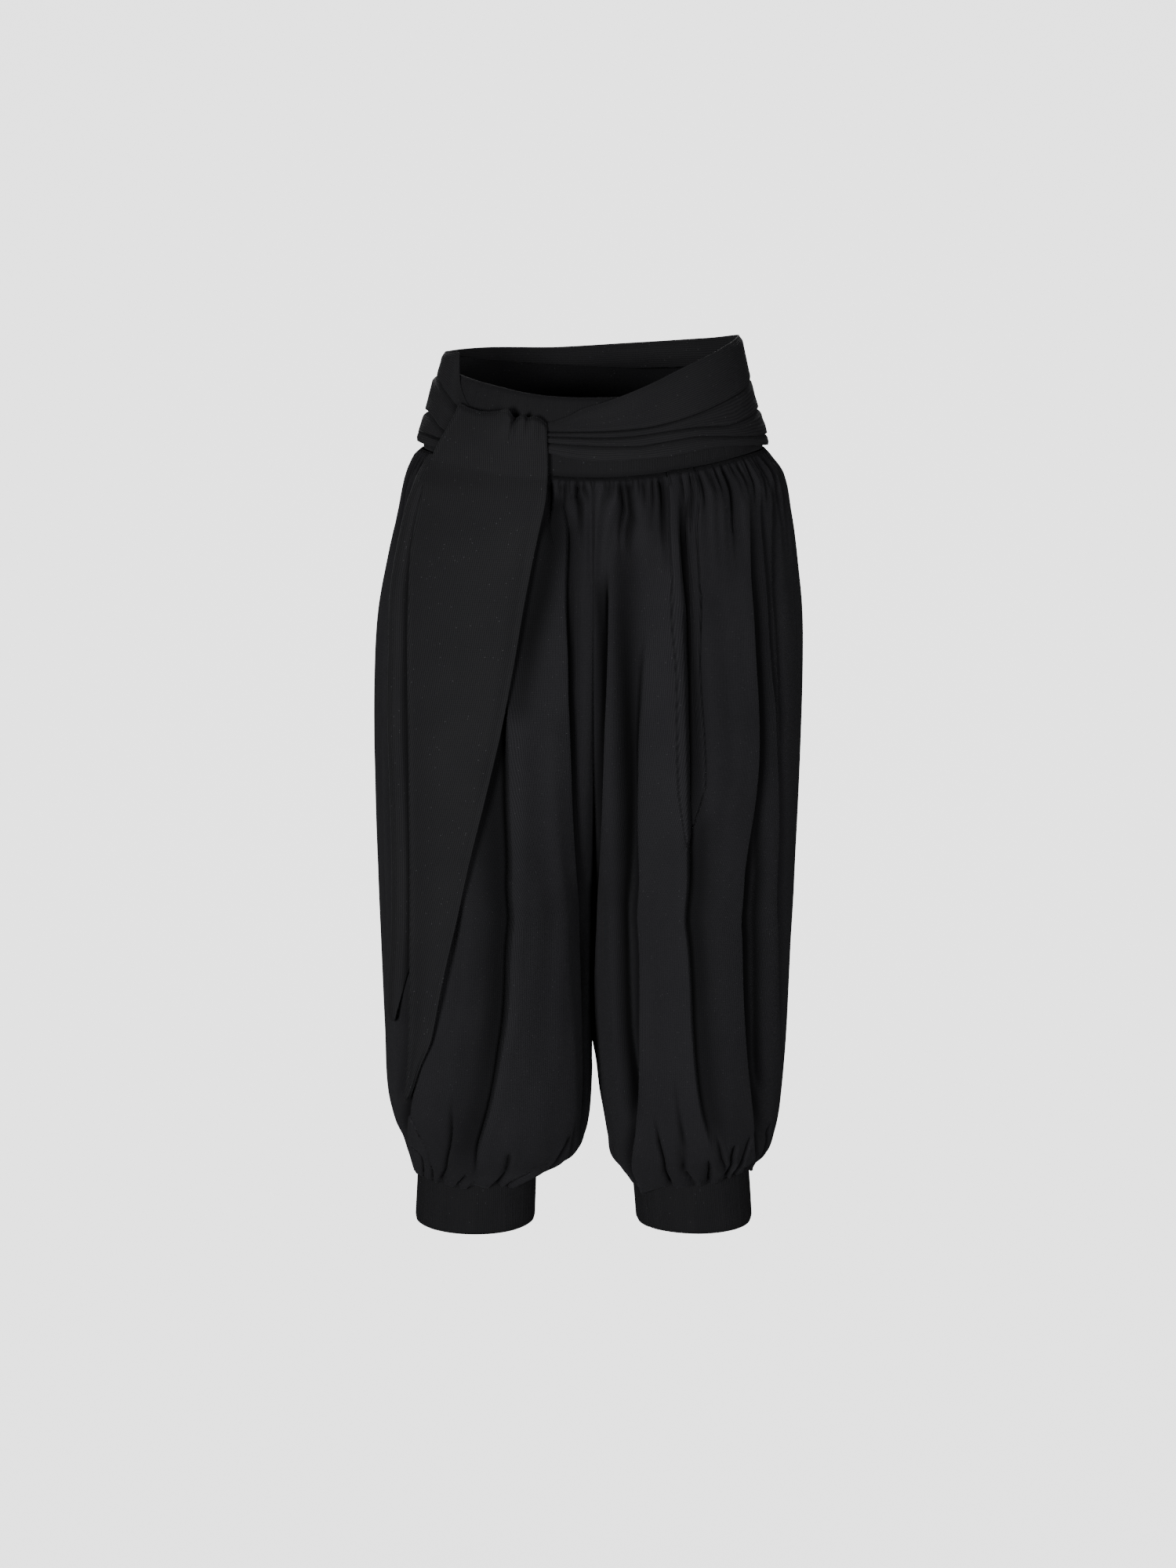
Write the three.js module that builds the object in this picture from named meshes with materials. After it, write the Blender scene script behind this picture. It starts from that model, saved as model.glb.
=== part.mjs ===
// Harem pants in black cotton jersey: a ribbed waistband, two full legs gathered
// into it and into ribbed calf cuffs, and a wide sash wound round the waist and
// tied in a knot at the wearer's right front, with two hanging ends.
// Millimetres, +Z up. The origin is the middle of the waist opening, the front
// faces -Y and the wearer's right side lies at -X. The garment is filled out.
import * as THREE from 'three';

const CENTRE_X = 3;          // middle of the waist and of the centre seams
const SEAM_GAP = 0.3;        // between neighbouring pieces
const LEG_WALL = 2.0;        // jersey of the legs
const RIB_WALL = 3.0;        // doubled rib of the waistband and the cuffs
const SASH_WALL = 1.6;       // jersey of the sash
const WAIST_FLATNESS = 0.69; // depth of the waist over its width
const BACK_WAIST = 18;       // gathers along a back panel's top
const BACK_CUFF = 11;        // and along its lower end
const TILT_END = -200;       // the waist's tilt has faded out here

const rad = THREE.MathUtils.degToRad;
const clamp = THREE.MathUtils.clamp;
const mix = THREE.MathUtils.lerp;

// A table gives each of its rows the named columns.
function table(columns, rows) {
  return rows.map((row) => Object.fromEntries(columns.map((name, i) => [name, row[i]])));
}

// The value of a column at a place in the table, on a smooth curve through its rows.
function along(rows, key, at, column) {
  const n = rows.length - 1;
  const up = rows[n][key] > rows[0][key];
  let i = 0;
  while (i < n - 1 && (up ? rows[i + 1][key] < at : rows[i + 1][key] > at)) i += 1;
  const f = clamp((at - rows[i][key]) / (rows[i + 1][key] - rows[i][key]), 0, 1);
  const slope = (j) => {
    const a = rows[Math.max(j - 1, 0)];
    const b = rows[Math.min(j + 1, n)];
    return (b[column] - a[column]) / (b[key] - a[key]);
  };
  const step = rows[i + 1][key] - rows[i][key];
  const a = rows[i][column];
  const b = rows[i + 1][column];
  const rise = (b - a) / step;
  const limit = (m) => (m * rise <= 0 ? 0 : Math.sign(rise) * Math.min(Math.abs(m), 3 * Math.abs(rise)));
  const m0 = limit(slope(i)) * step;
  const m1 = limit(slope(i + 1)) * step;
  return a + f * m0 + f * f * (3 * (b - a) - 2 * m0 - m1) + f * f * f * (2 * (a - b) + m0 + m1);
}

function smooth(from, to, value) {
  const f = clamp((value - from) / (to - from), 0, 1);
  return f * f * (3 - 2 * f);
}

// A number from 0 to 1 that is always the same for the same index.
function uneven(index) {
  const value = Math.sin(index * 12.9898 + 4.1) * 43758.5453;
  return value - Math.floor(value);
}

// Half width of the waist's ellipse at each height.
const WAIST = table(['z', 'half'], [
  [62, 124.5], [42, 129], [20, 134.5], [0, 140], [-18, 146], [-36, 150], [-60, 151.5],
]);

// Sections of a leg. side: distance of the side seam from the centre plane, inner:
// of the inseam. front, back: depth of the fullest point. seamFront, seamBack: depth
// of the centre seam, 0 below the crotch. full: share of the width where the section
// is deepest.
const LEG_COLUMNS = ['z', 'rightSide', 'rightInner', 'leftSide', 'leftInner', 'front', 'back', 'seamFront', 'seamBack', 'full'];
const LEG = table(LEG_COLUMNS, [
  [-36, 150.4, 0, 150.4, 0, 103.7, 103.7, 103.7, 103.7, 0],
  [-42, 157, 0, 156, 0, 107, 108, 107, 108, 0.03],
  [-60, 165, 0, 168, 0, 111, 113, 110, 112, 0.14],
  [-90, 171.5, 0, 173.5, 0, 116, 121, 113, 119, 0.27],
  [-130, 180, 0, 179, 0, 121, 130, 115, 126, 0.37],
  [-180, 189, 0, 184.5, 0, 126, 138, 114, 130, 0.44],
  [-240, 193, 0, 186, 0, 129, 141, 108, 126, 0.48],
  [-300, 194.5, 0, 185, 0, 128, 139, 93, 112, 0.5],
  [-350, 194, 0, 183.5, 0, 126, 135, 70, 88, 0.5],
  [-400, 193, 0, 181.5, 0, 122, 130, 36, 50, 0.5],
  [-440, 192, 0, 180, 0, 119, 126, 0, 0, 0.5],
  [-500, 190, 0, 177, 0, 113, 120, 0, 0, 0.5],
  [-560, 188, 0, 174, 1, 107, 112, 0, 0, 0.5],
  [-610, 185.5, 1, 170.5, 5, 100, 104, 0, 0, 0.5],
  [-640, 179, 3, 167, 10, 93, 95, 0, 0, 0.5],
  [-660, 171, 8, 162.5, 13.5, 84, 85, 0, 0, 0.5],
  [-676, 166, 19, 156, 18, 72, 72, 0, 0, 0.5],
  [-688, 163, 40, 147, 28, 62, 62, 0, 0, 0.5],
  [-693.5, 162, 48, 144.5, 31.5, 56, 56, 0, 0, 0.5],
]);
// Cuffs: ribbed tubes under the legs' puffs.
const CUFFS = table(['name', 'topZ', 'topX', 'topHalf', 'topDepth', 'lowZ', 'lowX', 'lowHalf', 'lowDepth'], [
  ['right_cuff', -682, -102.0, 53.9, 51.7, -738, -104.0, 54.6, 53.0],
  ['left_cuff', -682, 91.0, 53.4, 51.7, -738, 95.5, 52.8, 52.0],
]);
const LEG_END = -690; // where a leg's last turn, in and up, meets its cuff

// Size of a cuff at a height.
function cuffAt(side, z) {
  const size = CUFFS[side < 0 ? 0 : 1];
  const f = (size.topZ - z) / (size.topZ - size.lowZ);
  return {
    x: mix(size.topX, size.lowX, f),
    half: mix(size.topHalf, size.lowHalf, f),
    depth: mix(size.topDepth, size.lowDepth, f),
  };
}

// Main folds of the legs. form 0 is an even trough, 1 a step down towards the side
// seam and -1 a step down towards the centre seam, where one fold lies over the next.
// steep and gentle are the widths of the two slopes; path gives the fold's place
// across the panel at a few heights (0 at the centre seam, 1 at the side seam). The
// panel's columns of points run along the folds that have a line, at that share.
const FOLD_COLUMNS = ['form', 'depth', 'steep', 'gentle', 'line', 'path'];
const FOLDS = {
  left_leg_front: table(FOLD_COLUMNS, [
    [0, 7, 10, 10, 0, [[-50, 0.112], [-240, 0.156], [-365, 0.2], [-447, 0.25], [-604, 0.275], [-680, 0.25]]],
    [-1, 5, 8, 24, 0.256, [[-230, 0.222], [-364, 0.256], [-447, 0.3], [-494, 0.312], [-589, 0.306], [-685, 0.255]]],
    [1, 9, 8, 30, 0.4, [[-38, 0.3], [-246, 0.312], [-313, 0.344], [-382, 0.4], [-454, 0.476], [-560, 0.506], [-672, 0.6]]],
    [-1, 7.5, 8, 28, 0, [[-44, 0.535], [-128, 0.556], [-223, 0.6], [-356, 0.643], [-420, 0.65]]],
    [1, 7.5, 8, 22, 0.65, [[-290, 0.553], [-350, 0.581], [-425, 0.632], [-517, 0.675], [-617, 0.725], [-675, 0.79]]],
    [1, 4.5, 7, 18, 0, [[-44, 0.669], [-132, 0.681], [-290, 0.688], [-464, 0.8], [-620, 0.93]]],
    [1, 3.5, 6, 12, 0, [[-44, 0.8], [-88, 0.87], [-200, 0.815]]],
  ]),
  right_leg_front: table(FOLD_COLUMNS, [
    [-1, 8, 8, 16, 0.15, [[-50, 0.1], [-150, 0.145], [-305, 0.156], [-491, 0.169], [-680, 0.16]]],
    [1, 11.5, 8, 34, 0.38, [[-110, 0.262], [-252, 0.3], [-338, 0.327], [-426, 0.392], [-489, 0.413], [-597, 0.469], [-692, 0.54]]],
    [0, 4.5, 14, 14, 0, [[-60, 0.5], [-300, 0.56], [-560, 0.62]]],
    [0, 4.5, 13, 14, 0, [[-80, 0.74], [-300, 0.76], [-520, 0.82]]],
    [1, 4, 8, 16, 0.73, [[-470, 0.66], [-570, 0.72], [-680, 0.82]]],
  ]),
  left_leg_back: table(FOLD_COLUMNS, [
    [0, 6.5, 12, 12, 0, [[-50, 0.12], [-240, 0.17], [-440, 0.22], [-680, 0.26]]],
    [1, 8, 9, 30, 0.35, [[-40, 0.27], [-240, 0.3], [-340, 0.34], [-440, 0.44], [-560, 0.48], [-670, 0.54]]],
    [-1, 7, 9, 28, 0, [[-60, 0.56], [-240, 0.56], [-440, 0.64], [-640, 0.66]]],
    [1, 5.5, 9, 20, 0.75, [[-60, 0.72], [-240, 0.7], [-340, 0.72], [-440, 0.76], [-660, 0.86]]],
  ]),
  right_leg_back: table(FOLD_COLUMNS, [
    [0, 6.5, 12, 12, 0, [[-50, 0.1], [-240, 0.13], [-440, 0.17], [-670, 0.2]]],
    [1, 8.5, 9, 32, 0.33, [[-40, 0.22], [-240, 0.27], [-340, 0.31], [-440, 0.41], [-560, 0.44], [-672, 0.49]]],
    [1, 6.5, 9, 26, 0.58, [[-90, 0.5], [-240, 0.52], [-340, 0.55], [-440, 0.62], [-660, 0.7]]],
    [-1, 6, 9, 24, 0, [[-50, 0.78], [-240, 0.8], [-440, 0.82], [-620, 0.86]]],
  ]),
};
for (const folds of Object.values(FOLDS)) {
  for (const fold of folds) fold.path = table(['z', 'at'], fold.path);
}

// Gathers: at is the place on the seam and end the place where one has faded out,
// reach millimetres away. The back panels' ones are spread out unevenly by number.
const GATHER_COLUMNS = ['at', 'end', 'reach', 'depth'];
const WAIST_GATHERS = {
  left_leg_front: table(GATHER_COLUMNS, [
    [0.062, 0.06, 30, 2.5], [0.094, 0.112, 50, 3.5], [0.131, 0.137, 66, 2.6], [0.181, 0.19, 30, 2.4], [0.215, 0.215, 52, 2],
    [0.251, 0.25, 92, 4.8], [0.325, 0.325, 36, 2.4], [0.362, 0.35, 78, 5.6], [0.402, 0.4, 48, 2.6], [0.45, 0.456, 34, 2.4],
    [0.49, 0.49, 40, 2.2], [0.53, 0.556, 98, 4.2], [0.575, 0.585, 44, 2.4], [0.61, 0.612, 34, 2.2], [0.644, 0.65, 66, 3.2],
    [0.7, 0.7, 76, 3.4], [0.735, 0.73, 36, 2.4], [0.766, 0.77, 60, 3.2], [0.86, 0.86, 56, 3.2], [0.9, 0.902, 40, 2.4],
    [0.942, 0.942, 64, 3],
  ]),
  right_leg_front: table(GATHER_COLUMNS, [
    [0.05, 0.055, 36, 2.4], [0.078, 0.08, 116, 4.6], [0.113, 0.112, 66, 3.4], [0.14, 0.14, 76, 3], [0.172, 0.182, 116, 5],
    [0.22, 0.222, 46, 2.6], [0.262, 0.262, 76, 3.4], [0.31, 0.31, 54, 3], [0.36, 0.362, 40, 2.4], [0.42, 0.42, 76, 3.4],
    [0.47, 0.47, 36, 2.4], [0.52, 0.522, 66, 3.2], [0.58, 0.58, 46, 2.6], [0.632, 0.64, 86, 3.4], [0.69, 0.69, 46, 2.6],
    [0.742, 0.742, 66, 3.2], [0.79, 0.8, 56, 3], [0.832, 0.838, 36, 2.4], [0.876, 0.88, 96, 3.8], [0.925, 0.928, 66, 3],
    [0.966, 0.966, 46, 2.4],
  ]),
};
const CUFF_GATHERS = {
  left_leg_front: table(GATHER_COLUMNS, [
    [0.08, 0.08, 32, 3], [0.17, 0.172, 42, 3.4], [0.272, 0.268, 66, 5.6], [0.402, 0.362, 74, 5], [0.506, 0.45, 62, 5.2],
    [0.575, 0.566, 30, 4], [0.656, 0.598, 56, 4.6], [0.726, 0.724, 52, 5], [0.79, 0.79, 28, 3.2], [0.845, 0.845, 54, 4.8],
    [0.93, 0.93, 40, 3.6],
  ]),
  right_leg_front: table(GATHER_COLUMNS, [
    [0.06, 0.06, 32, 3], [0.14, 0.142, 38, 3.4], [0.232, 0.222, 52, 4.8], [0.333, 0.33, 26, 3.6], [0.412, 0.458, 44, 5.2],
    [0.5, 0.5, 24, 3.2], [0.59, 0.585, 28, 3.8], [0.676, 0.612, 84, 4.8], [0.722, 0.716, 28, 3.4], [0.792, 0.778, 48, 4.8],
    [0.86, 0.86, 30, 3.4], [0.93, 0.93, 40, 3.6],
  ]),
};
const PANELS = table(['name', 'side', 'face', 'seed', 'top', 'middle', 'bottom'], [
  ['left_leg_front', 1, -1, 11, 74, 32, 40],
  ['right_leg_front', -1, -1, 37, 74, 32, 40],
  ['left_leg_back', 1, 1, 61, 60, 24, 30],
  ['right_leg_back', -1, 1, 83, 60, 24, 30],
]);

// The waist seam's height: it dips at the front and rises a little at the back.
function waistSeam(face, share) {
  const c = Math.cos(share * Math.PI / 2);
  return -36 + (face < 0 ? -18 * c ** 2.5 : 8 * c ** 2);
}

function quarterLength(a, b) {
  return Math.PI / 4 * (3 * (a + b) - Math.sqrt((3 * a + b) * (a + 3 * b)));
}

// Sizes of a leg's section at a height. The last turn under the puffs has heights
// below the lowest: from there on a section is mixed into the leg's end.
const LOWEST = LEG[LEG.length - 1].z;
function section(side, face, z) {
  const own = side < 0 ? 'right' : 'left';
  const turn = clamp((LOWEST - z) / 4, 0, 1);
  const at = Math.max(z, LOWEST);
  const side0 = along(LEG, 'z', at, `${own}Side`);
  const inner0 = along(LEG, 'z', at, `${own}Inner`);
  const cuff = cuffAt(side, LEG_END);
  const centre = side * (cuff.x - CENTRE_X);
  return {
    z: mix(at, LEG_END, turn),
    side: mix(side0, centre + cuff.half + 0.35, turn),
    inner: mix(inner0 + SEAM_GAP / 2, centre - cuff.half - 0.35, turn),
    depth: mix(along(LEG, 'z', at, face < 0 ? 'front' : 'back'), cuff.depth + 0.2, turn),
    seam: along(LEG, 'z', at, face < 0 ? 'seamFront' : 'seamBack'),
    full: along(LEG, 'z', at, 'full'),
  };
}

// A point on a leg panel without folds: share runs from the centre seam or inseam to
// the side seam along two quarters of an ellipse.
function legPoint(side, face, share, z) {
  const c = section(side, face, z);
  const middle = c.inner + (c.side - c.inner) * c.full;
  const innerLength = middle - c.inner < 1e-6 ? 0 : quarterLength(middle - c.inner, Math.max(c.depth - c.seam, 0) + 1e-9);
  const split = innerLength / (innerLength + quarterLength(c.side - middle, c.depth));
  let x;
  let y;
  if (share < split) {
    const turn = (1 - share / split) * Math.PI / 2;
    x = middle - (middle - c.inner) * Math.sin(turn);
    y = c.seam + (c.depth - c.seam) * Math.cos(turn);
  } else {
    const turn = (share - split) / (1 - split) * Math.PI / 2;
    x = middle + (c.side - middle) * Math.sin(turn);
    y = c.depth * Math.cos(turn);
  }
  const tilt = (waistSeam(face, share) + 36) * smooth(TILT_END, -36, z);
  return new THREE.Vector3(CENTRE_X + side * x, face * (y + SEAM_GAP / 2), c.z + tilt);
}

// Outward normal of a surface that is given by a share and a height.
function outward(point, side, face, share, z, reach = 0.02) {
  const s0 = Math.max(share - reach, 0);
  const s1 = Math.min(share + reach, 1);
  const across = point(s1, z).sub(point(s0, z));
  const down = point(share, z - 1.2).sub(point(share, z + 1.2));
  return across.cross(down).multiplyScalar(side * face).normalize();
}

// Length of a panel's section, for folds that are sized in millimetres.
function sectionLength(side, face, z) {
  let length = 0;
  let last = legPoint(side, face, 0, z);
  for (let i = 1; i <= 12; i += 1) {
    const next = legPoint(side, face, i / 12, z);
    length += next.distanceTo(last);
    last = next;
  }
  return length;
}

function backGathers(count, seed, reach, depth) {
  return Array.from({ length: count }, (_, i) => {
    const at = (i + 0.5 + 0.55 * (uneven(seed + i) - 0.5)) / count;
    return {
      at,
      end: at + 0.02 * (uneven(seed + 5 + i) - 0.5),
      reach: reach * (0.4 + 1.2 * uneven(seed + 9 + i) ** 2),
      depth: depth * (0.75 + 0.5 * uneven(seed + 17 + i)),
    };
  });
}

function waistGathers(panel) {
  WAIST_GATHERS[panel.name] ??= backGathers(BACK_WAIST, panel.seed, 70, 3.2);
  return WAIST_GATHERS[panel.name];
}

function cuffGathers(panel) {
  CUFF_GATHERS[panel.name] ??= backGathers(BACK_CUFF, panel.seed + 200, 45, 4.2);
  return CUFF_GATHERS[panel.name];
}

function trough(distance, width) {
  return Math.exp(-((distance / width) ** 2));
}

// A fold's cross-section: 1 at its floor. A step has a raised crest above its edge.
function foldForm(fold, distance) {
  if (fold.form === 0) return trough(distance, distance < 0 ? fold.steep : fold.gentle);
  const down = fold.form * distance;
  const floor = smooth(-0.3 * fold.steep, fold.steep, down) * trough(Math.max(down - fold.steep, 0), fold.gentle);
  return floor - 0.14 * trough(down + fold.steep, fold.steep + 4);
}

// How far the cloth lies in or out of the plain panel: main folds, gathers under the
// waistband, gathers above the cuff, and soft swells between them.
function foldDepth(panel, share, z, length) {
  let depth = 0;
  for (const fold of FOLDS[panel.name]) {
    const from = fold.path[0].z;
    const to = fold.path.at(-1).z;
    if (z >= from || z <= to) continue;
    const fade = smooth(0, 0.22 * (from - to), from - z) * smooth(0, 0.16 * (from - to), z - to);
    depth -= fold.depth * fade * foldForm(fold, (share - along(fold.path, 'z', z, 'at')) * length);
  }
  for (const gather of waistGathers(panel)) {
    const far = clamp((-40 - z) / gather.reach, 0, 1);
    const fade = smooth(-36, -47, z) * (1 - smooth(0.1, 1, far));
    depth -= gather.depth * fade * trough((share - mix(gather.at, gather.end, far)) * length, 3.3);
  }
  for (const gather of cuffGathers(panel)) {
    const far = clamp((z + 688) / gather.reach, 0, 1);
    const fade = (1 - smooth(0.1, 1, far)) * (1 - smooth(-690, -695, z));
    depth -= gather.depth * fade * trough((share - mix(gather.at, gather.end, far)) * length, 4.6);
  }
  const swell = smooth(-60, -120, z) * (1 - smooth(-640, -690, z));
  depth += 0.9 * swell * Math.sin(share * 17 + panel.seed + z / 90);
  return Math.max(depth, -13.5) * smooth(0, 0.05, share) * smooth(0, 0.03, 1 - share);
}

// A closed wall from rows of outer and inner points. Rows may have different numbers
// of columns; share is each point's place along its row.
function wall(rows, ring = false) {
  const points = [];
  const faces = [];
  const put = (p) => points.push(p.x, p.y, p.z) / 3 - 1;
  const outer = rows.map((row) => row.outer.map(put));
  const inner = rows.map((row) => row.inner.map(put));
  const shares = rows.map((row) => row.shares);
  const quad = (a, b, c, d) => faces.push(a, b, c, a, c, d);
  const zip = (a, sa, b, sb, flip) => {
    let i = 0;
    let j = 0;
    while (i < a.length - 1 || j < b.length - 1) {
      const stepA = j === b.length - 1 || (i < a.length - 1 && sa[i + 1] + sa[i] <= sb[j + 1] + sb[j]);
      const tri = stepA ? [a[i], b[j], a[i + 1]] : [a[i], b[j], b[j + 1]];
      if (flip) tri.reverse();
      faces.push(...tri);
      if (stepA) i += 1; else j += 1;
    }
  };
  for (let r = 0; r < rows.length - 1; r += 1) {
    zip(outer[r], shares[r], outer[r + 1], shares[r + 1], false);
    zip(inner[r], shares[r], inner[r + 1], shares[r + 1], true);
    if (!ring) {
      quad(outer[r][0], inner[r][0], inner[r + 1][0], outer[r + 1][0]);
      quad(outer[r + 1].at(-1), inner[r + 1].at(-1), inner[r].at(-1), outer[r].at(-1));
    }
  }
  const last = rows.length - 1;
  for (let i = 0; i < outer[0].length - 1; i += 1) quad(outer[0][i], outer[0][i + 1], inner[0][i + 1], inner[0][i]);
  for (let i = 0; i < outer[last].length - 1; i += 1) quad(inner[last][i], inner[last][i + 1], outer[last][i + 1], outer[last][i]);
  return solid(points, faces);
}

// Makes the geometry, with its faces pointing out.
function solid(points, faces) {
  let volume = 0;
  const a = new THREE.Vector3();
  const b = new THREE.Vector3();
  const c = new THREE.Vector3();
  for (let i = 0; i < faces.length; i += 3) {
    a.fromArray(points, faces[i] * 3);
    b.fromArray(points, faces[i + 1] * 3);
    c.fromArray(points, faces[i + 2] * 3);
    volume += a.dot(b.cross(c));
  }
  if (volume < 0) faces.reverse();
  const geometry = new THREE.BufferGeometry();
  geometry.setAttribute('position', new THREE.Float32BufferAttribute(points, 3));
  geometry.setIndex(faces);
  geometry.computeVertexNormals();
  return geometry;
}

// Moves even shares so that columns run along the panel's longest folds.
function alongFolds(panel, shares, z) {
  const lines = [{ line: 0, at: 0 }, ...FOLDS[panel.name].filter((fold) => fold.line > 0)
    .map((fold) => ({ line: fold.line, at: along(fold.path, 'z', clamp(z, fold.path.at(-1).z, fold.path[0].z), 'at') })), { line: 1, at: 1 }];
  return shares.map((share) => {
    const i = Math.min(lines.findIndex((l, j) => j > 0 && share <= l.line + 1e-9), lines.length - 1);
    const f = (share - lines[i - 1].line) / (lines[i].line - lines[i - 1].line);
    return mix(lines[i - 1].at, lines[i].at, f);
  });
}

function spread(count) {
  return Array.from({ length: count + 1 }, (_, i) => i / count);
}

// Moves a wall's two points out where a gather would reach the cuff inside it.
function clearOfCuff(side, out, back) {
  const cuff = cuffAt(side, back.z);
  const x = (back.x - cuff.x) / (cuff.half + 0.5);
  const y = back.y / (cuff.depth + 0.5);
  const inside = 1 - Math.hypot(x, y);
  if (inside <= 0) return;
  const move = new THREE.Vector3(x, y, 0).normalize().multiplyScalar(inside * cuff.half);
  out.add(move);
  back.add(move);
}

// Leg panels
const TOP_ROWS = [-36, -44, -58, -80];
const MIDDLE_ROWS = [-112, -155, -205, -260, -320, -380, -440, -500, -560, -612];
const BOTTOM_ROWS = [-645, -668, -684, -693.5, -697.5];
function legPanel(panel) {
  const { side, face } = panel;
  const plain = (share, z) => legPoint(side, face, share, z);
  const rows = [];
  const add = (levels, columns) => {
    for (const z of levels) {
      const length = sectionLength(side, face, z);
      const even = spread(columns);
      const shares = alongFolds(panel, even, z);
      const outer = [];
      const inner = [];
      for (const share of shares) {
        const base = plain(share, z);
        const normal = outward(plain, side, face, share, z);
        const fold = foldDepth(panel, share, z, length);
        const out = base.clone().addScaledVector(normal, fold);
        const back = base.clone().addScaledVector(normal, fold - LEG_WALL);
        if (z === TOP_ROWS[0]) back.z = out.z;
        if (z < LOWEST) back.copy(out).add(new THREE.Vector3(0, 0, LEG_WALL));
        else if (z < -670) clearOfCuff(side, out, back);
        for (const [p, least] of [[out, SEAM_GAP / 2], [back, SEAM_GAP / 2 + 0.9 * LEG_WALL * (share < 0.5 ? 1 : 0)]]) {
          const x = Math.max(side * (p.x - CENTRE_X), least);
          p.x = CENTRE_X + side * x;
          const y = Math.max(face * p.y, SEAM_GAP / 2);
          p.y = face * y;
        }
        if (share === 1 || (share === 0 && section(side, face, z).seam < 1e-6)) {
          out.y = face * SEAM_GAP / 2;
          back.y = face * SEAM_GAP / 2;
        }
        outer.push(out);
        inner.push(back);
      }
      rows.push({ outer, inner, shares: even });
    }
  };
  add(TOP_ROWS, panel.top);
  add(MIDDLE_ROWS, panel.middle);
  add(BOTTOM_ROWS, panel.bottom);
  return wall(rows);
}

// Rings round the waist: turn is the angle from the centre front to the wearer's left.
function waistPoint(turn, z, out) {
  const half = along(WAIST, 'z', z, 'half');
  return new THREE.Vector3(
    CENTRE_X + (half + out) * Math.sin(rad(turn)),
    -(half * WAIST_FLATNESS + out) * Math.cos(rad(turn)),
    z,
  );
}

// Top edge of the waistband.
const BAND_TOP = table(['turn', 'z'], [
  [-180, 30], [-156, 33], [-133, 37], [-115, 41], [-95, 40], [-65, 31], [-40, 22], [-20, 14.8],
  [0, 13], [20, 14.8], [40, 22], [65, 31], [90, 36], [130, 31], [160, 28], [180, 30],
]);
const BAND_COLUMNS = 60;
function waistband() {
  const rows = [0, 0.5, 1].map((f) => {
    const outer = [];
    const inner = [];
    for (const share of spread(BAND_COLUMNS)) {
      const turn = share === 1 ? -180 : share * 360 - 180;
      const front = Math.abs(turn) < 90;
      const bottom = waistSeam(front ? -1 : 1, (front ? Math.abs(turn) : 180 - Math.abs(turn)) / 90) + SEAM_GAP;
      const z = mix(along(BAND_TOP, 'turn', turn, 'z'), bottom, f);
      outer.push(waistPoint(turn, z, 0));
      inner.push(waistPoint(turn, z, -RIB_WALL));
    }
    return { outer, inner, shares: spread(BAND_COLUMNS) };
  });
  return closedRing(rows);
}

// A tube's rows end where they start, so the last column is the first one again.
function closedRing(rows) {
  const points = [];
  const faces = [];
  const columns = rows[0].outer.length - 1;
  const rings = [...rows.map((row) => row.outer), ...rows.map((row) => row.inner).reverse()];
  for (const ring of rings) for (const p of ring.slice(0, columns)) points.push(p.x, p.y, p.z);
  for (let r = 0; r < rings.length; r += 1) {
    const next = (r + 1) % rings.length;
    for (let i = 0; i < columns; i += 1) {
      const j = (i + 1) % columns;
      const a = r * columns + i;
      const b = r * columns + j;
      const c = next * columns + j;
      const d = next * columns + i;
      faces.push(a, b, c, a, c, d);
    }
  }
  return solid(points, faces);
}

// Cuffs
const CUFF_COLUMNS = 40;
function cuffTube(size) {
  const rows = [0, 1].map((f) => {
    const place = (out) => spread(CUFF_COLUMNS).map((share) => {
      const turn = share * Math.PI * 2;
      return new THREE.Vector3(
        mix(size.topX, size.lowX, f) + (mix(size.topHalf, size.lowHalf, f) + out) * Math.sin(turn),
        -(mix(size.topDepth, size.lowDepth, f) + out) * Math.cos(turn),
        mix(size.topZ, size.lowZ, f),
      );
    });
    return { outer: place(0), inner: place(-RIB_WALL), shares: spread(CUFF_COLUMNS) };
  });
  return closedRing(rows);
}

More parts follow.
